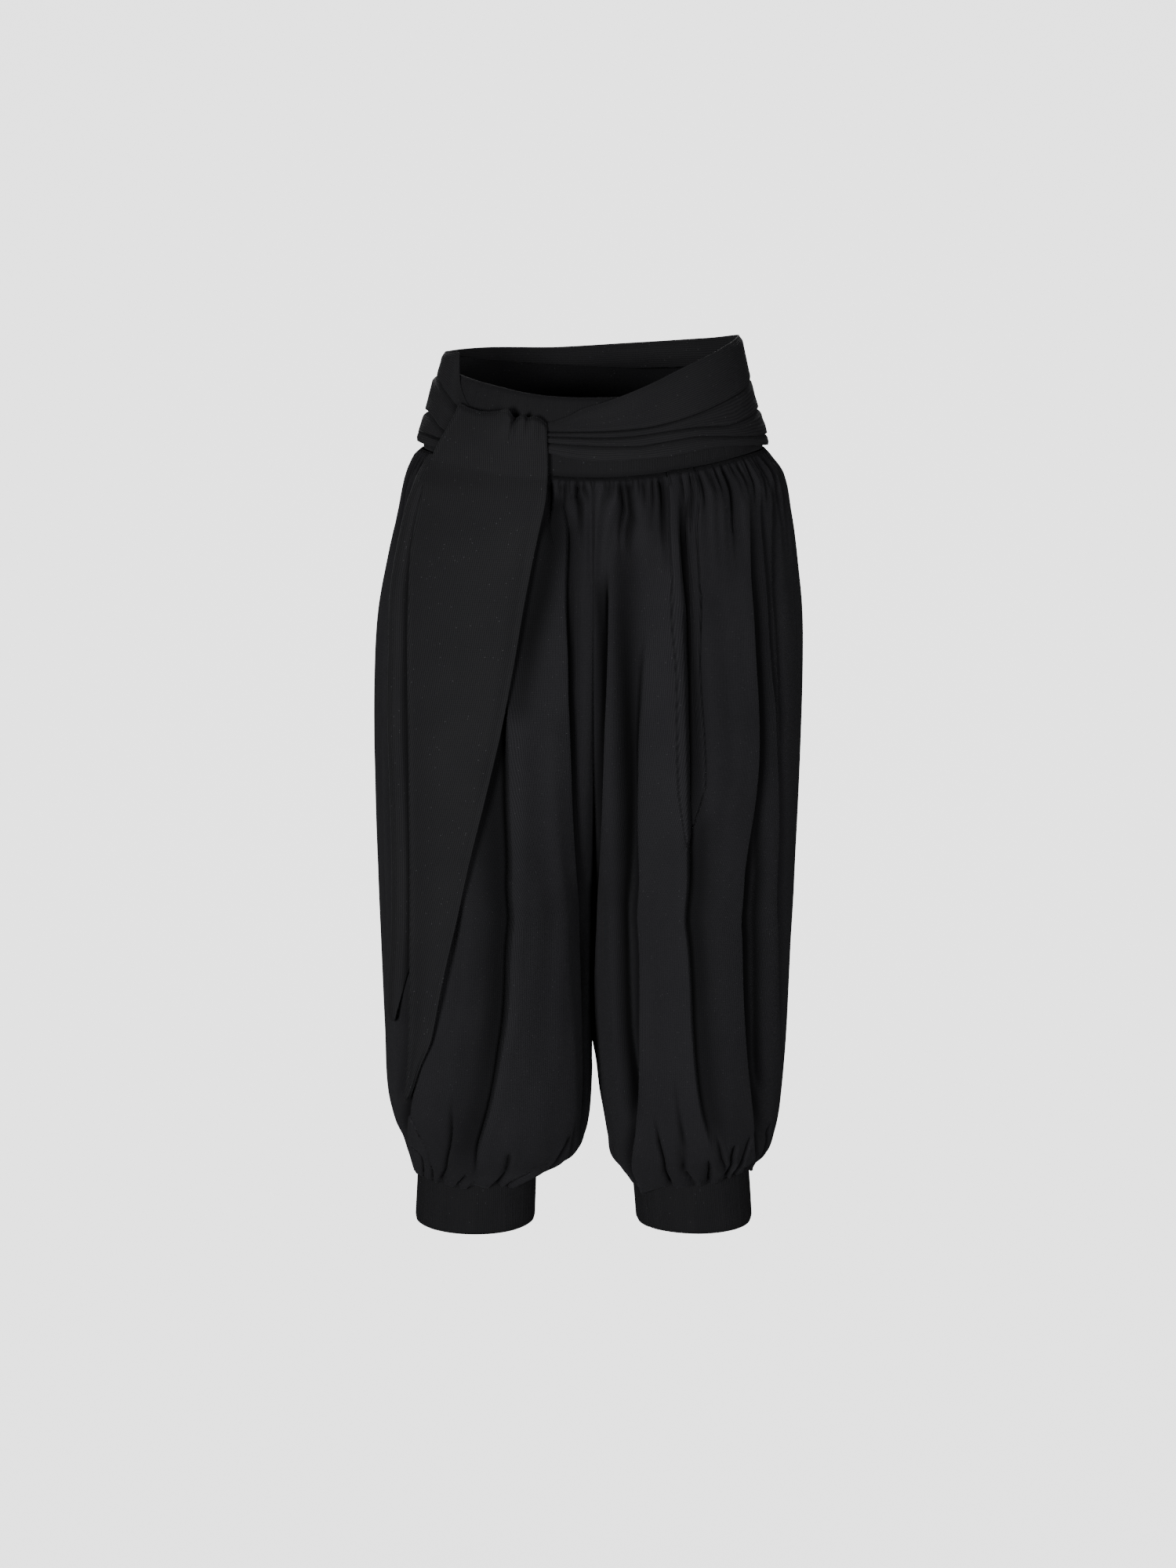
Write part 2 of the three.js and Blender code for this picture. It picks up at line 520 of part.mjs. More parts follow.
// Sash: heights of its top edge, of its three creases and of its bottom edge round the
// waist. It starts under the knot and ends there, so the turn runs from -20 to 314.
const SASH = {
  top: table(['turn', 'z'], [
    [-20, -9], [-14.8, -7.8], [-8, -1.8], [-3.6, 3.8], [4.6, 10], [13, 17.1], [23.4, 26.6], [35, 37.3], [49.4, 47.1],
    [65.6, 55.4], [90, 61.9], [130, 56.7], [166, 51.2], [197, 47.4], [226, 48.5], [265, 47], [285, 49.2], [293, 49.4],
    [297, 46.5], [299.5, 34], [303, 20], [308.4, 7.8], [314, -2],
  ]),
  upper: table(['turn', 'z'], [
    [-20, -15], [0, -14.8], [7.7, -14.2], [19, -11.5], [28.7, -6.9], [39.6, -0.4], [53.9, 8.5], [82.3, 23.4], [95, 27],
    [130, 30], [180, 26], [230, 28], [265, 29], [282, 23.5], [294, 14.5], [303, 5.3], [309, 0], [314, -6],
  ]),
  middle: table(['turn', 'z'], [
    [-20, -18.6], [-8.8, -19.4], [2.1, -20], [13.2, -18.8], [25, -15.2], [38.3, -12.3], [51.5, -12.1], [68, -6], [80, -2],
    [95, 0], [130, 3], [180, 0], [230, -4], [265, -8], [284, -10.1], [293, -11.7], [301, -17.9], [314, -22],
  ]),
  lower: table(['turn', 'z'], [
    [-20, -23.5], [-6, -25.9], [3.7, -27.2], [14.1, -27.4], [24.7, -23.9], [37.6, -20.2], [54.5, -21.7], [79, -23.3],
    [95, -22], [130, -16], [180, -12], [230, -17], [265, -20], [284, -21], [301, -25], [314, -28],
  ]),
  bottom: table(['turn', 'z'], [
    [-20, -33], [-14.1, -33.3], [-8.6, -36.4], [2.1, -39.6], [10.1, -39.1], [24.3, -36.4], [37, -31.7], [48.6, -29.8],
    [63.9, -30.5], [84.8, -32.9], [95, -32], [130, -28], [180, -23.5], [230, -27], [265, -29], [279, -29.7], [297, -31.8],
    [314, -33],
  ]),
};
// Rows across the sash: between which two lines a row lies, how far along, and how far
// the cloth stands out there at the front left, and at the wearer's right side.
const SASH_ROWS = table(['from', 'to', 'part', 'left', 'right'], [
  ['top', 'upper', 0, 2.9, 2.6],
  ['top', 'upper', 0.22, 4.4, 3.4],
  ['top', 'upper', 0.8, 4.2, 3.2],
  ['upper', 'middle', 0, 2.5, 2.6],
  ['upper', 'middle', 0.5, 4.2, 6.2],
  ['middle', 'lower', 0, 2.5, 3.0],
  ['middle', 'lower', 0.5, 4.5, 6.2],
  ['lower', 'bottom', 0, 2.6, 6.0],
  ['lower', 'bottom', 0.5, 4.8, 5.2],
  ['lower', 'bottom', 1, 3.0, 3.4],
]);
const STRETCHES = table(['name', 'from', 'to', 'columns'], [
  ['sash_left_wrap', -20, 94.9, 26],
  ['sash_back', 95.02, 264.9, 20],
  ['sash_right_wrap', 265.02, 314, 18],
]);
function sashStretch(stretch) {
  const shares = spread(stretch.columns);
  const rows = SASH_ROWS.map((row) => {
    const outer = [];
    const inner = [];
    for (const share of shares) {
      const turn = mix(stretch.from, stretch.to, share);
      const z = mix(along(SASH[row.from], 'turn', turn, 'z'), along(SASH[row.to], 'turn', turn, 'z'), row.part);
      const out = mix(row.left, row.right, smooth(120, 262, turn));
      outer.push(waistPoint(turn, z, out));
      inner.push(waistPoint(turn, z, out - SASH_WALL));
    }
    return { outer, inner, shares };
  });
  return wall(rows);
}

// What the tie ends lie on: the sash above, the right leg's front below.
function drapePoint(share, z) {
  const onWaist = waistPoint(-90 * share, Math.max(z, -60), 0);
  if (z > -30) return onWaist;
  let level = z;
  for (let i = 0; i < 4; i += 1) level = z - (waistSeam(-1, share) + 36) * smooth(TILT_END, -36, level);
  const onLeg = legPoint(-1, -1, share, Math.min(level, -38));
  return onWaist.lerp(onLeg, smooth(-30, -66, z)).setZ(z);
}

// A point over the drape at a given x and height, standing out from it.
function tiePoint(x, z, out, wallOut) {
  let low = 0;
  let high = 1;
  let normal;
  let base;
  for (let i = 0; i < 26; i += 1) {
    const share = (low + high) / 2;
    base = drapePoint(share, z);
    normal = outward(drapePoint, -1, -1, share, z, 0.04);
    if (base.x + normal.x * out > x) low = share; else high = share;
  }
  normal.z = 0;
  normal.normalize();
  return base.clone().addScaledVector(normal, wallOut);
}

// Front tie end: heights and places of its two edges, from the knot to its point.
const TIE_FRONT = table(['leftZ', 'leftX', 'rightZ', 'rightX'], [
  [6.7, -110.8, -8.7, -36.5],
  [3.5, -113, -11.5, -36.2],
  [-3, -116, -16, -36],
  [-14.2, -122.4, -22, -35.9],
  [-32, -132.6, -33, -35.5],
  [-50.8, -139.3, -47.2, -35.2],
  [-77.1, -145.9, -72.7, -37.1],
  [-116.6, -153.3, -112, -45.7],
  [-166.8, -155.6, -162.5, -55.7],
  [-213.7, -156.3, -209.6, -63.8],
  [-272.6, -155.6, -268.5, -75.3],
  [-330, -155.7, -326, -89],
  [-386, -155.9, -381, -102.8],
  [-440, -156.6, -435, -114.8],
  [-486, -157.6, -481, -125.6],
  [-529, -158.7, -525, -134.5],
  [-553, -159.8, -549, -139.7],
  [-578, -161.2, -575, -150.1],
  [-600, -163.6, -599, -157.5],
  [-609.5, -164.4, -609.2, -162.6],
]);
// Its top edge across the knot: how far each place stands above or below the straight
// line between the corners, and out from the knot. A slit lies between two rolls.
const TIE_TOP = table(['share', 'rise', 'out'], [
  [0, 0, 0], [0.1, -2, 0], [0.22, -2.2, 0.5], [0.34, -0.5, 1.5], [0.46, 2.5, 3], [0.555, 6, 5],
  [0.61, 1.5, 4], [0.645, -9, -2.5], [0.685, 0.5, 2.5], [0.74, 5.2, 3.5], [0.79, 1.5, 1.5], [0.85, 4.8, 3], [0.93, 4, 2], [1, 0, -1],
]);
function tieFront() {
  const few = [0, 0.16, 0.34, 0.52, 0.68, 0.85, 1];
  const rows = TIE_FRONT.map((row, i) => {
    const shares = i < 5 ? TIE_TOP.map((t) => t.share) : (i < 14 ? few : [0, 0.33, 0.67, 1]);
    const outer = [];
    const inner = [];
    const depthDown = [0, 4, 11, 20, 37, 55][Math.min(i, 5)];
    const nearTop = 1 - smooth(2, 42, depthDown);
    for (const share of shares) {
      const rise = along(TIE_TOP, 'share', share, 'rise');
      const lift = along(TIE_TOP, 'share', share, 'out');
      const x = mix(row.leftX, row.rightX, share);
      const z = mix(row.leftZ, row.rightZ, share) + rise * nearTop;
      const knot = 6.5 * Math.exp(-(((share - 0.55) / 0.34) ** 2)) * Math.exp(-(((z + 16) / 22) ** 2));
      const roll = [3.2, 0.9, 0][Math.min(i, 2)];
      const out = mix(9.6, 7.1, smooth(-45, -95, z)) + knot + lift * nearTop - roll + 0.3 * Math.sin(share * 7 + z / 46);
      outer.push(tiePoint(x, z, out, out));
      inner.push(tiePoint(x, z, out, out - SASH_WALL));
    }
    return { outer, inner, shares };
  });
  return wall(rows);
}

// Side tie end: it hangs under the front one, and its outer edge and point show.
const TIE_SIDE = table(['leftZ', 'leftX', 'rightZ', 'rightX'], [
  [-38, -138.5, -34, -92],
  [-52.6, -146.8, -50, -90],
  [-76.4, -157.2, -74, -90],
  [-105.6, -164.9, -104, -91],
  [-152.4, -173.1, -152, -94],
  [-199.1, -174.4, -200, -99],
  [-260, -175.8, -260, -107],
  [-321.4, -174.2, -320, -116],
  [-380, -173.2, -378, -127],
  [-440.9, -173.9, -438, -143],
  [-484, -176.2, -482, -157.5],
  [-510, -178.3, -507, -164.6],
  [-530, -179, -529, -170.5],
  [-538.6, -176.4, -538.2, -174.4],
]);
function tieSide() {
  const shares = [0, 0.2, 0.4, 0.7, 1];
  const rows = TIE_SIDE.map((row) => {
    const outer = [];
    const inner = [];
    for (const share of shares) {
      const x = mix(row.leftX, row.rightX, share);
      const z = mix(row.leftZ, row.rightZ, share);
      const out = mix(5.4, 3.8, smooth(-60, -100, z)) - 0.3 * Math.sin(share * 5);
      outer.push(tiePoint(x, z, out, out));
      inner.push(tiePoint(x, z, out, out - SASH_WALL));
    }
    return { outer, inner, shares };
  });
  return wall(rows);
}

// Knot: the roll of cloth that the front tie end passes over.
const KNOT = { from: -43, to: -24, z: -15, out: 6.8, thick: 5.4, high: 9, rings: 10, around: 12 };
function knot() {
  const points = [];
  const faces = [];
  for (let i = 0; i < KNOT.rings; i += 1) {
    const f = (i + 0.5) / KNOT.rings;
    const size = Math.sin(f * Math.PI) ** 0.45;
    const turn = mix(KNOT.from, KNOT.to, f);
    for (let j = 0; j < KNOT.around; j += 1) {
      const a = (j / KNOT.around + 0.1 * f) * Math.PI * 2;
      const lobe = 1 - 0.1 * Math.cos(3 * a + 2 * f);
      const p = waistPoint(turn, KNOT.z - 3 * f + KNOT.high * size * lobe * Math.sin(a), KNOT.out + KNOT.thick * size * lobe * Math.cos(a));
      points.push(p.x, p.y, p.z);
    }
  }
  const ends = [KNOT.from, KNOT.to].map((turn, i) => {
    const p = waistPoint(turn, KNOT.z - 3 * i, KNOT.out);
    return points.push(p.x, p.y, p.z) / 3 - 1;
  });
  for (let i = 0; i < KNOT.rings; i += 1) {
    for (let j = 0; j < KNOT.around; j += 1) {
      const a = i * KNOT.around + j;
      const b = i * KNOT.around + (j + 1) % KNOT.around;
      if (i === 0) faces.push(ends[0], b, a);
      if (i === KNOT.rings - 1) faces.push(ends[1], a, b);
      else faces.push(a, b, b + KNOT.around, a, b + KNOT.around, a + KNOT.around);
    }
  }
  return solid(points, faces);
}

// The garment
const jersey = new THREE.MeshStandardMaterial({ name: 'black jersey', color: 0x232225, roughness: 0.86, metalness: 0 });
const rib = new THREE.MeshStandardMaterial({ name: 'black rib', color: 0x212023, roughness: 0.9, metalness: 0 });
const pants = new THREE.Group();
pants.name = 'harem_pants';
function add(name, geometry, material) {
  const mesh = new THREE.Mesh(geometry, material.clone());
  mesh.name = name;
  pants.add(mesh);
}
add('waistband', waistband(), rib);
for (const panel of PANELS) add(panel.name, legPanel(panel), jersey);
for (const size of CUFFS) add(size.name, cuffTube(size), rib);
for (const stretch of STRETCHES) add(stretch.name, sashStretch(stretch), jersey);
add('sash_knot', knot(), jersey);
add('tie_side', tieSide(), jersey);
add('tie_front', tieFront(), jersey);

export default pants;
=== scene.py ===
# Harem pants in black cotton jersey, for Blender 4.5.
# Sizes are in millimetres until a mesh is made. The front faces -Y, +Z is up,
# and the wearer's right side lies at -X.
import math

import bmesh
import bpy
import numpy as np
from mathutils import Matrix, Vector


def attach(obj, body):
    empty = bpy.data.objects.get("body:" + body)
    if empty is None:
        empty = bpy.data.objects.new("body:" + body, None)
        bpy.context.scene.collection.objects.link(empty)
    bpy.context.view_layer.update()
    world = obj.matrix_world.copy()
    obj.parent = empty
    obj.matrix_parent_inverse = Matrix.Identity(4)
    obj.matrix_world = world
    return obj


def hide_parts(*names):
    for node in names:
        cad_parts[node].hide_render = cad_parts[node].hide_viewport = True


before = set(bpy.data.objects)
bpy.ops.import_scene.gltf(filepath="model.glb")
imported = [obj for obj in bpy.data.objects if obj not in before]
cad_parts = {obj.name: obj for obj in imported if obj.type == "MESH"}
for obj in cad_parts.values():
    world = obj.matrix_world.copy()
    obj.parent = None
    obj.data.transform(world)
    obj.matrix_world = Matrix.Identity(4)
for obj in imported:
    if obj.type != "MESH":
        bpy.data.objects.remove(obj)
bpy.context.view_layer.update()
print("frame loaded")

body = {"centreX": 3.0, "seamGap": 0.12, "waistFlatness": 0.69, "tiltEnd": -200.0}


# Curves and small helpers

def smoothStep(start, end, value):
    f = np.clip((np.asarray(value, float) - start) / (end - start), 0, 1)
    return f * f * (3 - 2 * f)


def mixed(a, b, f):
    return a + (b - a) * f


def hump(distance, width):
    return np.exp(-((distance / width) ** 2))


def cleft(distance, width):  # round flanks that meet in a narrow line
    near = np.clip(1 - (np.sqrt(distance ** 2 + 0.5) - 0.7) / width, 0, 1)
    return 1 - np.sqrt(1 - near ** 2)


def uneven(index):  # always the same number from 0 to 1 for an index
    value = math.sin(index * 12.9898 + 4.1) * 43758.5453
    return value - math.floor(value)


def curveAt(points, at):  # a smooth curve through (place, value) pairs
    points = sorted(points)
    key = np.array([p[0] for p in points], float)
    val = np.array([p[1] for p in points], float)
    rise = np.diff(val) / np.diff(key)
    slope = np.concatenate([rise[:1], (val[2:] - val[:-2]) / (key[2:] - key[:-2]), rise[-1:]])
    at = np.asarray(at, float)
    i = np.clip(np.searchsorted(key, at, side="right") - 1, 0, len(key) - 2)
    step = key[i + 1] - key[i]
    f = np.clip((at - key[i]) / step, 0, 1)

    def limited(m):
        r = rise[i]
        return np.where(m * r <= 0, 0, np.sign(r) * np.minimum(np.abs(m), 3 * np.abs(r))) * step

    m0, m1 = limited(slope[i]), limited(slope[i + 1])
    a, b = val[i], val[i + 1]
    return a + f * m0 + f * f * (3 * (b - a) - 2 * m0 - m1) + f ** 3 * (2 * (a - b) + m0 + m1)


# points are rows x columns x 3 in mm, uv in metres, and the optional grid after them is painted
# shade: 1 where a fold floor, crease or seam is painted darkest
def gridMesh(name, points, uv, paintedShade=None, ring=False, tube=False):
    rows, columns = points.shape[:2]
    index = np.arange(rows * columns).reshape(rows, columns)
    if tube:  # the last row joins the first, round the wall's section
        index = np.concatenate([index, index[:1]])
    right = np.roll(index, -1, axis=1) if ring else index[:, 1:]
    left = index if ring else index[:, :-1]
    faces = np.stack([left[:-1], left[1:], right[1:], right[:-1]], axis=-1).reshape(-1, 4)
    mesh = bpy.data.meshes.new(name)
    mesh.from_pydata((points.reshape(-1, 3) / 1000).tolist(), [], faces.tolist())
    layer = mesh.uv_layers.new(name="cloth")
    flat = uv.reshape(-1, 2)
    corner = np.zeros(len(mesh.loops), dtype=np.int32)
    mesh.loops.foreach_get("vertex_index", corner)
    place = flat[corner]
    if ring:  # the last column's corners carry on past the start instead of jumping back
        width = uv[0, -1, 0] - uv[0, 0, 0] + (uv[0, 1, 0] - uv[0, 0, 0])
        quads = place.reshape(-1, 4, 2)
        jump = quads[:, :, 0].max(axis=1) - quads[:, :, 0].min(axis=1) > width / 2
        low = quads[:, :, 0] < uv[0, 0, 0] + width / 2
        quads[:, :, 0] += np.where(jump[:, None] & low, width, 0)
        place = quads.reshape(-1, 2)
    layer.data.foreach_set("uv", place.astype(np.float32).ravel())
    # painted shade, kept on the points for the material to darken the cloth
    if paintedShade is not None:
        attribute = mesh.attributes.new("paintedShade", "FLOAT", "POINT")
        attribute.data.foreach_set("value", np.clip(paintedShade, 0, 1).ravel().astype(np.float32))
    mesh.polygons.foreach_set("use_smooth", np.ones(len(mesh.polygons), dtype=bool))
    mesh.update()
    piece = bpy.data.objects.new(name, mesh)
    bpy.context.scene.collection.objects.link(piece)
    return piece


def faceOut(piece, middle):  # turns the faces so that they look away from a middle line
    mesh = piece.data
    total = 0.0
    for face in list(mesh.polygons)[::max(1, len(mesh.polygons) // 400)]:
        total += face.normal.dot(face.center - middle(face.center))
    if total < 0:
        mesh.flip_normals()


def turnOut(piece):  # for a closed wall: its volume is positive when the faces point out
    shape = bmesh.new()
    shape.from_mesh(piece.data)
    if shape.calc_volume(signed=True) < 0:
        bmesh.ops.reverse_faces(shape, faces=shape.faces)
        shape.to_mesh(piece.data)
    shape.free()


# Turns a single sheet outwards from a middle line, given in metres for a point, and gives
# it the cloth's own thickness inwards from its outer face.
def finishSheet(piece, middle, thickness, material):
    faceOut(piece, middle)
    solidify = piece.modifiers.new("cloth thickness", "SOLIDIFY")
    solidify.thickness = thickness / 1000
    solidify.offset = -1
    solidify.use_even_offset = False
    piece.data.materials.append(material)
    return piece


def broad(values, like):  # the same values all over a grid of rows and columns
    return np.broadcast_to(values, like.shape)


def sizesAcross(rows, t):  # each column of a table of edge points, at places t down its rows
    table = np.array(rows, float)
    return [curveAt(list(enumerate(column)), t)[:, None] for column in table.T]


# Materials

def node(tree, kind, place, **values):
    made = tree.nodes.new(kind)
    made.location = place
    for name, value in values.items():
        setattr(made, name, value)
    return made


def mathNode(tree, operation, a, b=None, place=(0, 0), clamp=False):
    made = node(tree, "ShaderNodeMath", place, operation=operation, use_clamp=clamp)
    for socket, value in zip(made.inputs, (a, b)):
        if value is None:
            continue
        if isinstance(value, (int, float)):
            socket.default_value = value
        else:
            tree.links.new(value, socket)
    return made.outputs[0]


def setSockets(made, **values):
    for name, value in values.items():
        made.inputs[name.replace("_", " ")].default_value = value


def texture(tree, kind, place, vector, sockets, **values):
    made = node(tree, kind, place, **values)
    setSockets(made, **sockets)
    tree.links.new(vector, made.inputs["Vector"])
    return made


knitSockets = ("Wales", "Courses", "Rib", "Fuzz", "Lint")


def makeKnitGroup():  # wales, courses, fuzz and lint of a cotton knit
    tree = bpy.data.node_groups.new("cottonKnit", "ShaderNodeTree")
    for name in knitSockets:
        tree.interface.new_socket(name=name, in_out="INPUT", socket_type="NodeSocketFloat")
    vector = tree.interface.new_socket(name="Vector", in_out="INPUT",
                                       socket_type="NodeSocketVector")
    vector.hide_value = True
    for name in ("Height", "Shade", "Lint Mask"):
        tree.interface.new_socket(name=name, in_out="OUTPUT", socket_type="NodeSocketFloat")
    start = node(tree, "NodeGroupInput", (-1200, 0))
    end = node(tree, "NodeGroupOutput", (900, 0))
    given = start.outputs
    parts = node(tree, "ShaderNodeSeparateXYZ", (-1000, 100))
    tree.links.new(given["Vector"], parts.inputs[0])

    sizes = {"Scale": 60.0, "Detail": 1.0}
    wobble = texture(tree, "ShaderNodeTexNoise", (-1000, -250), given["Vector"], sizes)
    drift = mathNode(tree, "MULTIPLY", wobble.outputs["Fac"], 0.9, (-820, -250))

    across = mathNode(tree, "MULTIPLY", parts.outputs[0], given["Wales"], (-820, 160))
    across = mathNode(tree, "ADD", across, drift, (-660, 160))
    turn = mathNode(tree, "MULTIPLY", across, 2 * math.pi, (-500, 160))
    wale = mathNode(tree, "COSINE", turn, None, (-340, 160))
    side = mathNode(tree, "PINGPONG", across, 0.5, (-500, 0))
    lean = mathNode(tree, "MULTIPLY", side, 1.3, (-340, 0))
    down = mathNode(tree, "MULTIPLY", parts.outputs[1], given["Courses"], (-660, -80))
    down = mathNode(tree, "ADD", down, lean, (-180, -40))
    down = mathNode(tree, "MULTIPLY", down, 2 * math.pi, (-20, -40))
    course = mathNode(tree, "SINE", down, None, (120, -40))
    ribs = mathNode(tree, "MULTIPLY", wale, given["Rib"], (-180, 160))
    loops = mathNode(tree, "MULTIPLY", course, 0.4, (260, -40))
    knit = mathNode(tree, "ADD", ribs, loops, (400, 80))

    sizes = {"Scale": 1500.0, "Detail": 3.0}
    fibre = texture(tree, "ShaderNodeTexNoise", (-340, -420), given["Vector"], sizes)
    fuzz = mathNode(tree, "MULTIPLY", fibre.outputs["Fac"], given["Fuzz"], (-100, -420))
    height = mathNode(tree, "ADD", knit, fuzz, (560, 80))
    tree.links.new(height, end.inputs["Height"])

    sizes = {"Scale": 14.0, "Detail": 4.0, "Roughness": 0.6}
    cloud = texture(tree, "ShaderNodeTexNoise", (-340, -640), given["Vector"], sizes)
    tone = mathNode(tree, "MULTIPLY", knit, 0.26, (560, -200))
    tone = mathNode(tree, "ADD", tone, fuzz, (640, -260))
    soft = mathNode(tree, "MULTIPLY", cloud.outputs["Fac"], 0.3, (640, -420))
    soft = mathNode(tree, "ADD", soft, 0.2, (700, -420))
    tone = mathNode(tree, "ADD", tone, soft, (760, -320), clamp=True)
    tree.links.new(tone, end.inputs["Shade"])

    speck = texture(tree, "ShaderNodeTexVoronoi", (-340, -900), given["Vector"], {"Scale": 420.0},
                    voronoi_dimensions="3D", feature="F1")
    few = node(tree, "ShaderNodeSeparateColor", (-120, -1000))
    tree.links.new(speck.outputs["Color"], few.inputs[0])
    some = mathNode(tree, "GREATER_THAN", few.outputs[0], 0.9, (60, -1000))
    small = mathNode(tree, "LESS_THAN", speck.outputs["Distance"], 0.16, (60, -860))
    lint = mathNode(tree, "MULTIPLY", some, small, (240, -900))
    lint = mathNode(tree, "MULTIPLY", lint, given["Lint"], (400, -900))
    tree.links.new(lint, end.inputs["Lint Mask"])
    return tree


knitGroup = makeKnitGroup()

finishes = {
    "black jersey": {"wales": 560.0, "courses": 640.0, "rib": 0.6, "fuzz": 0.5, "lint": 0.7,
                     "dark": (0.0102, 0.0101, 0.0119), "light": (0.0265, 0.026, 0.0287),
                     "bump": 0.7, "roughness": 0.9, "sheen": 0.03},
    "black sash jersey": {"wales": 560.0, "courses": 640.0, "rib": 0.7, "fuzz": 0.5, "lint": 0.8,
                          "dark": (0.0092, 0.0092, 0.0105), "light": (0.0228, 0.0225, 0.0238),
                          "bump": 0.6, "roughness": 0.88, "sheen": 0.03},
    "black rib": {"wales": 1100.0, "courses": 700.0, "rib": 0.35, "fuzz": 0.5, "lint": 0.5,
                  "dark": (0.0065, 0.0065, 0.0076), "light": (0.0175, 0.0173, 0.0184),
                  "bump": 0.5, "roughness": 0.9, "sheen": 0.03},
}


def clothMaterial(name):
    look = finishes[name]
    material = bpy.data.materials.new(name)
    material.use_nodes = True
    tree = material.node_tree
    tree.nodes.clear()
    out = node(tree, "ShaderNodeOutputMaterial", (900, 0))
    shader = node(tree, "ShaderNodeBsdfPrincipled", (600, 0))
    setSockets(shader, Sheen_Weight=look["sheen"], Sheen_Roughness=0.45,
               Sheen_Tint=(0.75, 0.76, 0.82, 1), Specular_IOR_Level=0.12)
    tree.links.new(shader.outputs[0], out.inputs[0])
    place = node(tree, "ShaderNodeUVMap", (-900, 0), uv_map="cloth")
    knit = node(tree, "ShaderNodeGroup", (-650, 0), node_tree=knitGroup)
    setSockets(knit, **{name: look[name.lower()] for name in knitSockets})
    tree.links.new(place.outputs[0], knit.inputs["Vector"])
    ramp = node(tree, "ShaderNodeValToRGB", (-350, 150))
    for stop, position, tone in zip(ramp.color_ramp.elements, (0.3, 0.95), ("dark", "light")):
        stop.position = position
        stop.color = (*look[tone], 1)
    tree.links.new(knit.outputs["Shade"], ramp.inputs[0])
    dusted = node(tree, "ShaderNodeMix", (150, 150), data_type="RGBA")
    dusted.inputs["B"].default_value = (0.07, 0.07, 0.075, 1)
    tree.links.new(knit.outputs["Lint Mask"], dusted.inputs["Factor"])
    tree.links.new(ramp.outputs[0], dusted.inputs["A"])
    # painted shade: the point attribute darkens the cloth towards near black in folds, creases and
    # seams
    deep = node(tree, "ShaderNodeAttribute", (150, 400), attribute_name="paintedShade")
    shaded = node(tree, "ShaderNodeMix", (380, 200), data_type="RGBA")  # painted shade in fold floors, creases and seams
    shaded.inputs["B"].default_value = (0.001, 0.001, 0.0012, 1)
    amount = mathNode(tree, "MULTIPLY", deep.outputs["Fac"], 1.05, (250, 330), clamp=True)
    tree.links.new(amount, shaded.inputs["Factor"])
    tree.links.new(dusted.outputs["Result"], shaded.inputs["A"])
    tree.links.new(shaded.outputs["Result"], shader.inputs["Base Color"])
    rough = node(tree, "ShaderNodeMapRange", (150, -100))
    setSockets(rough, To_Min=look["roughness"] + 0.06, To_Max=look["roughness"] - 0.08)
    tree.links.new(knit.outputs["Shade"], rough.inputs["Value"])
    tree.links.new(rough.outputs[0], shader.inputs["Roughness"])
    bump = node(tree, "ShaderNodeBump", (350, -250))
    setSockets(bump, Strength=look["bump"], Distance=0.00035)
    tree.links.new(knit.outputs["Height"], bump.inputs["Height"])
    tree.links.new(bump.outputs[0], shader.inputs["Normal"])
    return material


blackJersey = clothMaterial("black jersey")
sashJersey = clothMaterial("black sash jersey")
blackRib = clothMaterial("black rib")
print("materials made")


# Waist, leg and cuff sizes

waistHalf = [(62, 124.5), (42, 129), (20, 134.5), (0, 140), (-18, 146), (-36, 150), (-60, 151.5)]

legSizes = {
    "columns": ("z", "rightSide", "rightInner", "leftSide", "leftInner", "front", "back",
                "seamFront", "seamBack", "full"),
    "rows": [
        (-36, 150.4, 0, 150.4, 0, 103.7, 103.7, 103.7, 103.7, 0),
        (-42, 157, 0, 156, 0, 107, 108, 107, 108, 0.03),
        (-60, 165, 0, 168, 0, 111, 113, 110, 112, 0.14),
        (-90, 171.5, 0, 173.5, 0, 116, 121, 113, 119, 0.27),
        (-130, 180, 0, 179, 0, 121, 130, 115, 126, 0.37),
        (-180, 189, 0, 184.5, 0, 126, 138, 114, 130, 0.44),
        (-240, 193, 0, 186, 0, 129, 141, 108, 126, 0.48),
        (-300, 194.5, 0, 185, 0, 128, 139, 93, 112, 0.5),
        (-350, 194, 0, 183.5, 0, 126, 135, 70, 88, 0.5),
        (-400, 193, 0, 181.5, 0, 122, 130, 36, 50, 0.5),
        (-440, 192, 0, 180, 0, 119, 126, 0, 0, 0.5),
        (-500, 190, 0, 177, 0, 113, 120, 0, 0, 0.5),
        (-560, 188, 0, 174, 1, 107, 112, 0, 0, 0.5),
        (-610, 185.5, 1, 170.5, 5, 100, 104, 0, 0, 0.5),
        (-640, 179, 3, 167, 10, 93, 95, 0, 0, 0.5),
        (-660, 171, 8, 162.5, 13.5, 84, 85, 0, 0, 0.5),
        (-676, 166, 19, 156, 18, 72, 72, 0, 0, 0.5),
        (-688, 163, 40, 147, 28, 62, 62, 0, 0, 0.5),
        (-693.5, 162, 48, 144.5, 31.5, 56, 56, 0, 0, 0.5),
    ],
    "end": -690.0,      # where the last turn, in and up, meets the cuff
    "thickness": 1.5,
    "topRows": 34, "middleRows": 82, "bottomRows": 34, "turnRows": 6,
    "middle": 90,       # a leg's middle, from the centre plane
    "deepest": -17,     # no fold lies deeper
    "tucks": 44,        # small ones right at a panel's waist seam
    "pressed": 3.2,     # how far the legs push the back centre seam to one side
    "backWaist": 18, "backCuff": 11,   # gathers along the back panels
}
legLowest = legSizes["rows"][-1][0]
legCurve = {
    column: [(row[0], row[i]) for row in legSizes["rows"]]
    for i, column in enumerate(legSizes["columns"]) if i
}

